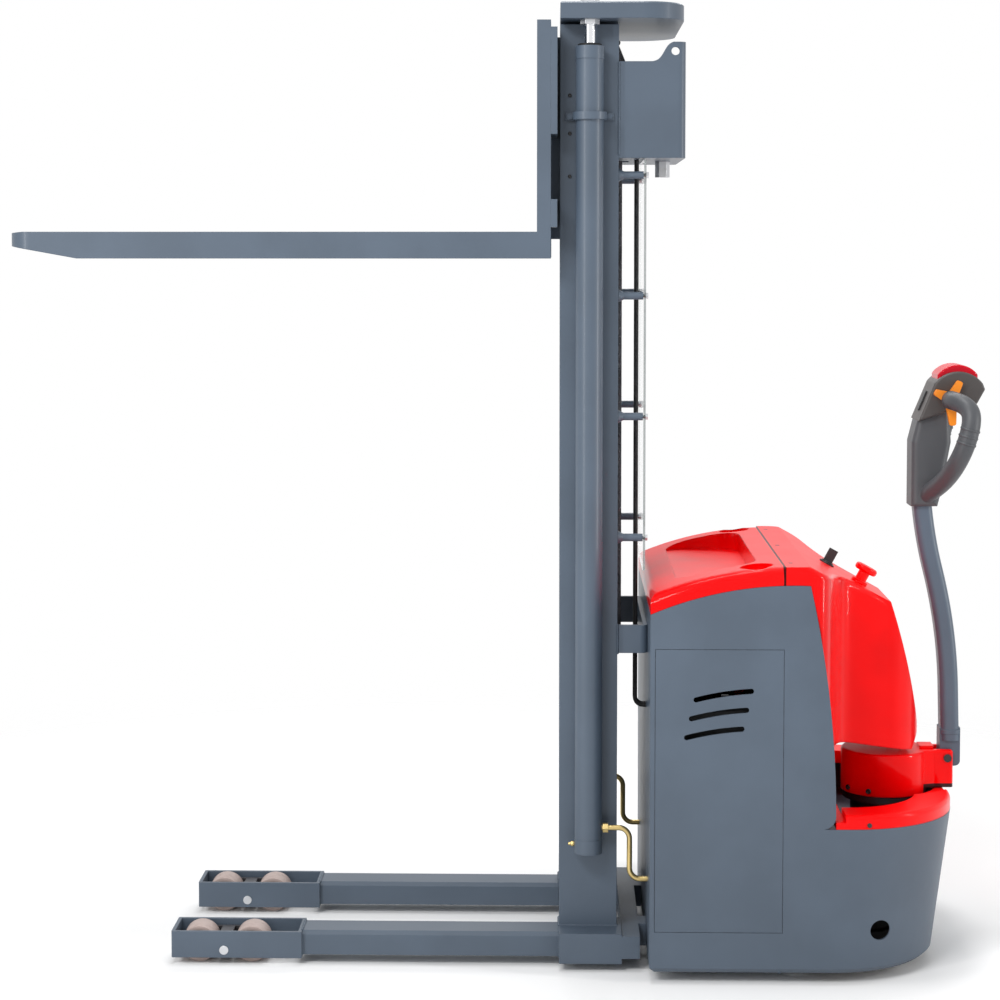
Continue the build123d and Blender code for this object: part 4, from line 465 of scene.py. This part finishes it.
def cylinder(name, radius, depth, place=(0, 0, 0), turn=(0, 0, 0), sides=32):
    """A cylinder to shape further."""
    bpy.ops.object.select_all(action="DESELECT")
    bpy.ops.mesh.primitive_cylinder_add(vertices=sides, radius=radius, depth=depth, location=place, rotation=turn)
    return start(bpy.context.object, name)


def block(name, size, place=(0, 0, 0)):
    """A box to shape further."""
    bpy.ops.object.select_all(action="DESELECT")
    bpy.ops.mesh.primitive_cube_add(size=1.0, location=place, scale=size)
    return start(bpy.context.object, name)


def pick(piece, test):
    """Enters edit mode with the faces selected whose centre and normal pass the test."""
    select_only(piece)
    mesh = piece.data
    bpy.context.tool_settings.mesh_select_mode = (False, False, True)
    for part in (mesh.vertices, mesh.edges, mesh.polygons):
        part.foreach_set("select", [False] * len(part))
    for face in mesh.polygons:
        face.select = test(face.center, face.normal)
    bpy.ops.object.mode_set(mode="EDIT")


def step_in(steps):
    """Insets the picked faces one step after another; each step is a width and a rise."""
    for width, rise in steps:
        bpy.ops.mesh.inset(thickness=width, depth=rise)
    bpy.ops.object.mode_set(mode="OBJECT")


def soften(piece, width, segments=2):
    """Rounds the piece's sharp edges."""
    select_only(piece)
    modifier = piece.modifiers.new("edge", "BEVEL")
    modifier.width = width
    modifier.segments = segments
    modifier.limit_method = "ANGLE"
    modifier.angle_limit = radians(35)
    bpy.ops.object.modifier_apply(modifier=modifier.name)


def copies(piece, places):
    """Joins copies of the piece, each with its own mesh, at these matrices; the model itself is removed."""
    made = []
    for place in places:
        copy = piece.copy()
        copy.data = piece.data.copy()
        copy.data.transform(place)
        bpy.context.collection.objects.link(copy)
        made.append(copy)
    name = piece.name
    bpy.data.objects.remove(piece)
    return join(made, name)


def join(pieces, name):
    """Makes one piece of several."""
    bpy.ops.object.select_all(action="DESELECT")
    for piece in pieces:
        piece.select_set(True)
    bpy.context.view_layer.objects.active = pieces[0]
    bpy.ops.object.join()
    pieces[0].name = name
    return pieces[0]


def settle(piece, body, slot, *materials, angle=35.0):
    """Smooths the piece, gives it its finishes and puts it on its body."""
    select_only(piece)
    bpy.ops.object.shade_smooth_by_angle(angle=radians(angle))
    piece.data.materials.clear()
    for material in materials:
        piece.data.materials.append(material)
    if body:
        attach(piece, body)
    return piece


def both_sides(piece):
    """Adds the piece's mirror image across the truck's middle."""
    select_only(piece)
    modifier = piece.modifiers.new("far_side", "MIRROR")
    modifier.use_axis = (False, True, False)
    modifier.use_mirror_merge = False
    bpy.ops.object.modifier_apply(modifier=modifier.name)
    return piece


class STACKER_OT_wheels(bpy.types.Operator):
    """Wheels with a bonded tread, a dished hub and a bearing boss"""
    bl_idname = "stacker.wheels"
    bl_label = "Wheels"

    def wheel(self, node, body, slot, hub_share, boss, axle, dish, tread, hub):
        """Builds one wheel in place of its node.

        hub_share is the hub's part of the radius, boss and axle are radii, and dish is the hub's depth.
        """
        low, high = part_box(node)
        middle = (low + high) / 2
        radius = (high.z - low.z) / 2
        width = high.y - low.y
        rim = radius * hub_share
        wall = 0.0015
        rise = dish * 0.7
        wheel = cylinder(f"{node}_built", radius, width, middle, (pi / 2, 0, 0), 72)
        pick(wheel, lambda centre, normal: abs(normal.y) > 0.9)
        step_in((
            (radius - rim, 0.0),
            (wall, -dish),
            (rim - boss - 2 * wall, 0.0),
            (wall, rise),
            (boss - axle - wall, 0.0),
            (wall, -rise),
        ))
        for face in wheel.data.polygons:
            away = Vector((face.center.x - middle.x, face.center.z - middle.z)).length
            level = abs(face.center.y - middle.y)
            outside = abs(face.normal.y) < 0.3 and away > radius * 0.9
            if outside or away > rim and abs(level - width / 2) < 0.001:
                face.material_index = 0
            else:
                face.material_index = 2 if away < boss + wall else 1
        soften(wheel, min(0.004, dish * 0.6))
        settle(wheel, body, slot, tread, hub, finishes["steel"])
        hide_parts(node)

    def execute(self, context):
        tread = finishes["tread"]
        hub = finishes["hub"]
        for side in ("near", "far"):
            for place in ("front", "rear"):
                self.wheel(
                    f"load_roller_{side}_{place}", f"roller_{side}_{place}", "tread",
                    hub_share=0.74, boss=0.016, axle=0.0086, dish=0.005, tread=tread, hub=hub,
                )
            self.wheel(
                f"caster_wheel_{side}", f"caster_wheel_{side}", "tread",
                hub_share=0.72, boss=0.020, axle=0.009, dish=0.006, tread=tread, hub=hub,
            )
        self.wheel(
            "drive_wheel", "drive_wheel", "drive_tread",
            hub_share=0.80, boss=0.045, axle=0.021, dish=0.010, tread=finishes["rubber"], hub=finishes["dark"],
        )
        return {"FINISHED"}


class STACKER_OT_chain(bpy.types.Operator):
    """Leaf chain: two straight strands that follow the mast and the turn over the sheave"""
    bl_idname = "stacker.chain"
    bl_label = "Lift chain"
    repeat = 0.038

    def pack(self, name, pitch, depth, width):
        """One repeat of the chain about the origin, running along Z: an outer and an inner link with their pins."""
        thin = width / 8
        plate = block("plate", (depth, thin * 0.85, pitch + depth * 0.92))
        select_only(plate)
        modifier = plate.modifiers.new("ends", "BEVEL")
        modifier.width = depth * 0.46
        modifier.segments = 4
        modifier.limit_method = "WEIGHT"
        weights = []
        for edge in plate.data.edges:
            first, last = (plate.data.vertices[index].co for index in edge.vertices)
            weights.append(1.0 if abs(first.y - last.y) > thin * 0.5 else 0.0)
        plate.data.attributes.new("bevel_weight_edge", "FLOAT", "EDGE").data.foreach_set("value", weights)
        bpy.ops.object.modifier_apply(modifier=modifier.name)
        rows = [(step, 0.5) for step in (-3, -1, 1, 3)] + [(step, -0.5) for step in (-2, 0, 2)]
        plates = copies(plate, [Matrix.Translation((0, step * thin, up * pitch)) for step, up in rows])
        pin = cylinder("pin", depth * 0.22, width, turn=(pi / 2, 0, 0), sides=12)
        soften(pin, depth * 0.05, segments=1)
        pins = copies(pin, [Matrix.Translation((0, 0, up * pitch)) for up in (0.0, 1.0)])
        return join([plates, pins], name)

    def strand(self, node, lower, upper):
        """A straight strand in place of its node; lower and upper are not used."""
        low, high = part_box(node)
        length = high.z - low.z
        count = max(2, round(length / self.repeat))
        pitch = length / (2 * count)
        links = self.pack(f"{node}_links", pitch, (high.x - low.x) * 0.94, high.y - low.y)
        foot = Vector(((low.x + high.x) / 2, (low.y + high.y) / 2, low.z + pitch / 2))
        places = [Matrix.Translation(foot + Vector((0, 0, 2 * pitch * step))) for step in range(count)]
        strand = settle(copies(links, places), None, "dark_steel", finishes["dark"])
        select_only(strand)
        bpy.ops.object.mode_set(mode="EDIT")
        for end, normal in ((low, (0, 0, -1)), (high, (0, 0, 1))):
            bpy.ops.mesh.select_all(action="SELECT")
            bpy.ops.mesh.bisect(plane_co=end, plane_no=normal, use_fill=True, clear_outer=True)
        bpy.ops.object.mode_set(mode="OBJECT")
        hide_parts(node)
        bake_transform(strand)

    def execute(self, context):
        self.strand("lift_chain_rear", "inner_mast", "crosshead")
        self.strand("lift_chain_front", "carriage", "crosshead")
        low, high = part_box("lift_chain_turn")
        axle = Vector(((low.x + high.x) / 2, (low.y + high.y) / 2, low.z))
        depth = (high.x - low.x) / 2 - (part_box("chain_sheave")[1].x - axle.x) + 0.006
        seat = (high.x - low.x) / 2 - depth / 2
        count = 4
        pitch = 2 * seat * sin(pi / (4 * count))
        links = self.pack("lift_chain_turn_links", pitch, depth * 0.9, high.y - low.y)
        turn = pi / count
        places = [
            Matrix.Translation(axle) @ Matrix.Rotation(pi - turn * (step + 0.5), 4, "Y").inverted()
            @ Matrix.Translation((seat * cos(turn / 4), 0, -pitch / 2))
            for step in range(count)
        ]
        wrapped = settle(copies(links, places), "crosshead", "dark_steel", finishes["dark"])
        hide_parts("lift_chain_turn")
        return {"FINISHED"}


def line_of(first, last, spacing):
    """Evenly spaced points from first to last."""
    first = Vector(first)
    last = Vector(last)
    count = max(2, round((last - first).length / spacing))
    return [first.lerp(last, step / count) for step in range(count + 1)]


class STACKER_OT_welds(bpy.types.Operator):
    """Rippled weld seams where the mast, feet, legs and ties meet"""
    bl_idname = "stacker.welds"
    bl_label = "Weld seams"

    def execute(self, context):
        sizes = context.scene.stacker_sizes
        rail_low, rail_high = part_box("outer_mast_rails")
        legs_low, legs_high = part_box("base_legs")
        tie_low, tie_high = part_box("mast_top_tie")
        front, rear = rail_low.x, rail_high.x
        side = rail_low.y
        seat = rail_low.z
        seams = [
            ((front, side, seat), (rear, side, seat)),
            ((front, side, seat), (front, side + sizes.rail_flange, seat)),
            ((rear, side, tie_low.z + 0.008), (rear, side, tie_high.z - 0.045)),
            ((rear, side, sizes.mid_tie), (rear, side, sizes.mid_tie + sizes.mid_tie_height)),
        ]
        short = 0.008
        beam_inner = -sizes.leg_middle + sizes.beam_width / 2
        beam_outer = -sizes.leg_middle - sizes.beam_width / 2
        for place in (legs_high.x, legs_low.x + sizes.wheel_box):
            seams.append(((place, beam_inner - short, legs_high.z), (place, beam_outer + short, legs_high.z)))
            seams.append(((place, beam_outer, legs_high.z - short), (place, beam_outer, sizes.beam_bottom)))
        bpy.ops.object.select_all(action="DESELECT")
        bpy.ops.mesh.primitive_uv_sphere_add(segments=10, ring_count=6, radius=sizes.bead)
        bead = start(context.object, "weld_seams")
        pick(bead, lambda centre, normal: normal.z > 0.55)
        bpy.ops.transform.translate(value=(0, 0, -0.25 * sizes.bead))
        bpy.ops.object.mode_set(mode="OBJECT")
        places = []
        for first, last in seams:
            way = (Vector(last) - Vector(first)).to_track_quat("X", "Z").to_matrix().to_4x4()
            tilt = Matrix.Rotation(radians(18), 4, "Y")
            for number, point in enumerate(line_of(first, last, 1.1 * sizes.bead)):
                swell = 1.0 + 0.12 * sin(2.1 * number)
                shape = Matrix.Diagonal((0.85, swell, swell, 1.0))
                places.append(Matrix.Translation(point) @ way @ tilt @ shape)
        welds = both_sides(copies(bead, places))
        settle(welds, "truck", "grey_paint", finishes["paint"], angle=60.0)
        return {"FINISHED"}


class STACKER_OT_fittings(bpy.types.Operator):
    """Small hardware: rail plugs, rod wipers, bleed screws and the steering head's screws"""
    bl_idname = "stacker.fittings"
    bl_label = "Fittings"

    def plugs(self, sizes):
        """Plugs in the sides of the outer rails."""
        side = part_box("outer_mast_rails")[0].y
        plug = cylinder("rail_plugs", 0.0042, 0.003, turn=(pi / 2, 0, 0), sides=24)
        pick(plug, lambda centre, normal: normal.y < -0.9)
        step_in(((0.0009, 0.0005), (0.0010, -0.0010)))
        places = [Matrix.Translation((sizes.plug_x, side - 0.0008, height)) for height in sizes.plug_heights]
        settle(both_sides(copies(plug, places)), "truck", "black_plastic", finishes["black"])

    def wipers(self, low, high, middle):
        """Rubber rings at the top of the lift cylinders, made for the near one and mirrored."""
        ring = cylinder("rod_wipers", 0.0262, 0.006, sides=64)
        pick(ring, lambda centre, normal: abs(normal.z) > 0.9)
        step_in(((0.0028, 0.0), (0.0012, 0.0014)))
        pick(ring, lambda centre, normal: abs(normal.z) > 0.9 and centre.xy.length < 0.002)
        bpy.ops.mesh.inset(thickness=0.0026)
        bpy.ops.mesh.bridge_edge_loops()
        bpy.ops.object.mode_set(mode="OBJECT")
        ring.data.transform(Matrix.Translation(((low.x + high.x) / 2, middle, high.z + 0.001)))
        soften(ring, 0.0006)
        settle(both_sides(ring), "truck", "hose_rubber", finishes["rubber"])

    def bleed_screws(self, low, middle):
        """Screws low on the front of the lift cylinders."""
        screw = cylinder("bleed_screws", 0.0065, 0.008, turn=(0, pi / 2, 0), sides=6)
        pick(screw, lambda centre, normal: normal.x < -0.9)
        step_in(((0.0022, 0.0), (0.0004, 0.006), (0.0008, 0.0), (0.0004, -0.003)))
        soften(screw, 0.0005, segments=1)
        screw.data.transform(Matrix.Translation((low.x - 0.003, middle, low.z + 0.020)))
        settle(both_sides(screw), "truck", "brass_fitting", finishes["brass"])

    def head_screws(self):
        """Socket screws round the foot of the steering head's drum."""
        low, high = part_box("steering_head")
        radius = (high.y - low.y) / 2
        axle = Vector((low.x + radius, 0, low.z + 0.012))
        screw = cylinder("steering_head_screws", 0.006, 0.005, turn=(0, pi / 2, 0), sides=24)
        pick(screw, lambda centre, normal: normal.x > 0.9)
        step_in(((0.0022, 0.0), (0.0003, -0.0032)))
        soften(screw, 0.0008)
        places = []
        for angle in (-152.0, -118.0, 118.0, 152.0):
            turn = Matrix.Rotation(radians(angle), 4, "Z")
            places.append(Matrix.Translation(axle) @ turn @ Matrix.Translation((radius + 0.0016, 0, 0)))
        settle(copies(screw, places), "steer", "black_plastic", finishes["black"])

    def execute(self, context):
        low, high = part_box("lift_cylinders")
        middle = low.y + (high.x - low.x) / 2
        self.plugs(context.scene.stacker_sizes)
        self.wipers(low, high, middle)
        self.bleed_screws(low, middle)
        self.head_screws()
        return {"FINISHED"}


class STACKER_OT_tiller_trim(bpy.types.Operator):
    """Soft ribs round the looped grips"""
    bl_idname = "stacker.tiller_trim"
    bl_label = "Tiller trim"

    def execute(self, context):
        sizes = context.scene.stacker_sizes
        middle = Vector(sizes.grip_middle)
        way = Vector(sizes.grip_way).normalized()
        rib = cylinder("grip_ribs", sizes.grip_radius + 0.0012, 0.005, sides=48)
        pick(rib, lambda centre, normal: abs(normal.z) > 0.9)
        step_in(((0.003, 0.0),))
        pick(rib, lambda centre, normal: abs(normal.z) > 0.9 and centre.xy.length < 0.002)
        bpy.ops.mesh.bridge_edge_loops()
        bpy.ops.object.mode_set(mode="OBJECT")
        soften(rib, 0.0012)
        turn = way.to_track_quat("Z", "Y").to_matrix().to_4x4()
        places = [Matrix.Translation(middle + way * along) @ turn for along in (-0.010, 0.006, 0.022)]
        settle(both_sides(copies(rib, places)), "tiller", "head_plastic", finishes["head"])
        return {"FINISHED"}


class STACKER_OT_battery_top(bpy.types.Operator):
    """Cell lids, filler caps and lead links on the battery"""
    bl_idname = "stacker.battery_top"
    bl_label = "Battery top"

    def execute(self, context):
        low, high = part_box("battery")
        across, along = 2, 6
        margin = 0.006
        gap = 0.004
        pole = 0.034
        length = (high.x - low.x - 2 * margin) / across
        width = (high.y - low.y - 2 * margin) / along
        spots = []
        for row in range(across):
            for number in range(along):
                x = low.x + margin + length * (row + 0.5)
                y = low.y + margin + width * (number + 0.5)
                spots.append(Vector((x, y, high.z)))
        lid = block("battery_lids", (length - gap, width - gap, 0.012), (0, 0, 0.005))
        pick(lid, lambda centre, normal: normal.z > 0.9)
        step_in(((0.007, 0.0), (0.002, -0.004)))
        soften(lid, 0.0018)
        lids = copies(lid, [Matrix.Translation(spot) for spot in spots])
        settle(lids, "truck", "battery_case", finishes["case"])
        cap = cylinder("filler_caps", 0.016, 0.012, (0, 0, 0.012), sides=32)
        pick(cap, lambda centre, normal: normal.z > 0.9)
        step_in(((0.003, 0.0), (0.001, -0.003), (0.006, 0.0), (0.001, 0.004)))
        soften(cap, 0.001)
        caps = copies(cap, [Matrix.Translation(spot) for spot in spots])
        settle(caps, "truck", "stop_red", finishes["red_soft"])
        link = block("lead_links", (0.018, width * 0.72, 0.007), (0, width / 2, 0.0135))
        pick(link, lambda centre, normal: normal.z > 0.9)
        step_in(((0.003, 0.0), (0.001, 0.002)))
        soften(link, 0.0012)
        places = []
        for number, spot in enumerate(spots):
            if number % along < along - 1:
                aside = pole if number % 2 else -pole
                places.append(Matrix.Translation(spot + Vector((aside, 0, 0))))
        settle(copies(link, places), "truck", "dark_steel", finishes["steel"])
        return {"FINISHED"}


class STACKER_OT_stage(bpy.types.Operator):
    """Camera, soft lights and a pale floor"""
    bl_idname = "stacker.stage"
    bl_label = "Stage"
    # place, aim, width, height and power of each area light: key, right strip, left strip, top, back
    lights = (
        ((-2.0, -4.2, 4.4), (0.0, 0.0, 1.1), 2.4, 1.2, 155.0),
        ((4.0, -1.3, 1.3), (0.9, -0.2, 0.8), 0.12, 2.2, 48.0),
        ((-2.9, -3.4, 1.5), (0.1, 0.0, 1.2), 0.12, 2.4, 48.0),
        ((-0.2, 0.0, 5.4), (0.1, 0.0, 0.0), 1.8, 1.4, 100.0),
        ((0.6, 3.6, 4.2), (0.2, 0.0, 1.0), 2.8, 1.6, 70.0),
    )

    def add_camera(self, context, stage):
        bpy.ops.object.select_all(action="DESELECT")
        turn = (pi / 2 - stage.pitch, 0, stage.yaw)
        bpy.ops.object.camera_add(location=stage.camera, rotation=turn)
        camera = context.object
        camera.data.lens = stage.focal
        camera.data.sensor_width = 36.0
        camera.data.sensor_fit = "HORIZONTAL"
        camera.data.shift_y = stage.shift_y
        camera.data.clip_end = 100.0
        context.scene.camera = camera

    def add_lights(self, context):
        for place, aim, width, height, power in self.lights:
            bpy.ops.object.light_add(type="AREA", location=place)
            lamp = context.object
            lamp.data.shape = "RECTANGLE"
            lamp.data.size = width
            lamp.data.size_y = height
            lamp.data.energy = power
            lamp.rotation_euler = (Vector(aim) - Vector(place)).to_track_quat("-Z", "Y").to_euler()

    def add_world(self, context, stage):
        """White to the eye and in reflections, and a softer level for the light it gives."""
        world = bpy.data.worlds.new("studio")
        context.scene.world = world
        world.use_nodes = True
        tree = world.node_tree
        background = tree.nodes["Background"]
        background.inputs["Color"].default_value = (1.0, 1.0, 1.0, 1.0)
        path = tree.nodes.new("ShaderNodeLightPath")
        seen = path.outputs["Is Camera Ray"]
        for kind in ("Is Glossy Ray", "Is Transmission Ray"):
            either = tree.nodes.new("ShaderNodeMath")
            either.operation = "MAXIMUM"
            tree.links.new(seen, either.inputs[0])
            tree.links.new(path.outputs[kind], either.inputs[1])
            seen = either.outputs[0]
        level = tree.nodes.new("ShaderNodeMapRange")
        level.inputs["To Min"].default_value = stage.surround
        level.inputs["To Max"].default_value = 1.0
        tree.links.new(seen, level.inputs["Value"])
        tree.links.new(level.outputs[0], background.inputs["Strength"])

    def add_floor(self, context, stage):
        """A pale floor that fades out into the white round it."""
        bpy.ops.mesh.primitive_plane_add(size=4 * stage.floor_fade, location=(0, 0, 0))
        floor = context.object
        floor.name = "floor"
        pale = Finish("pale_floor", Roughness=0.9, Specular_IOR_Level=0.0)
        fleck = pale.noise(4.0, 3.0)
        pale.set(Base_Color=pale.mix(fleck, (0.95, 0.95, 0.95), (0.96, 0.96, 0.96)))
        reach = pale.node("ShaderNodeVectorMath", {"operation": "LENGTH"}, {0: pale.place()}, out="Value")
        gone = pale.node("ShaderNodeBsdfTransparent")
        shown = Wire(pale, pale.shader.outputs[0])
        fade = reach.ramp(0.55 * stage.floor_fade, stage.floor_fade)
        faded = pale.node("ShaderNodeMixShader", inputs={0: fade, 1: shown, 2: gone})
        pale.feed(pale.tree.nodes["Material Output"].inputs["Surface"], faded)
        floor.data.materials.append(pale.material)

    def execute(self, context):
        stage = context.scene.stacker_stage
        self.add_camera(context, stage)
        self.add_lights(context)
        self.add_world(context, stage)
        self.add_floor(context, stage)
        context.scene.view_settings.view_transform = "Standard"
        return {"FINISHED"}


class STACKER_PT_panel(bpy.types.Panel):
    """Steps of the stacker's looks"""
    bl_label = "Electric stacker"
    bl_idname = "STACKER_PT_panel"
    bl_space_type = "VIEW_3D"
    bl_region_type = "UI"
    bl_category = "Stacker"

    def draw(self, context):
        for step in steps:
            self.layout.operator(step.bl_idname)


steps = (
    STACKER_OT_finishes,
    STACKER_OT_wheels,
    STACKER_OT_chain,
    STACKER_OT_welds,
    STACKER_OT_fittings,
    STACKER_OT_tiller_trim,
    STACKER_OT_battery_top,
    STACKER_OT_stage,
)
classes = (StackerColours, StackerSizes, StackerStage, *steps, STACKER_PT_panel)


def register():
    for kind in classes:
        bpy.utils.register_class(kind)
    bpy.types.Scene.stacker_colours = PointerProperty(type=StackerColours)
    bpy.types.Scene.stacker_sizes = PointerProperty(type=StackerSizes)
    bpy.types.Scene.stacker_stage = PointerProperty(type=StackerStage)


def unregister():
    del bpy.types.Scene.stacker_colours
    del bpy.types.Scene.stacker_sizes
    del bpy.types.Scene.stacker_stage
    for kind in reversed(classes):
        bpy.utils.unregister_class(kind)


def main():
    register()
    bpy.ops.stacker.finishes()
    bpy.ops.stacker.wheels()
    bpy.ops.stacker.chain()
    bpy.ops.stacker.welds()
    bpy.ops.stacker.fittings()
    bpy.ops.stacker.tiller_trim()
    bpy.ops.stacker.battery_top()
    bpy.ops.stacker.stage()


if __name__ == "__main__":
    main()
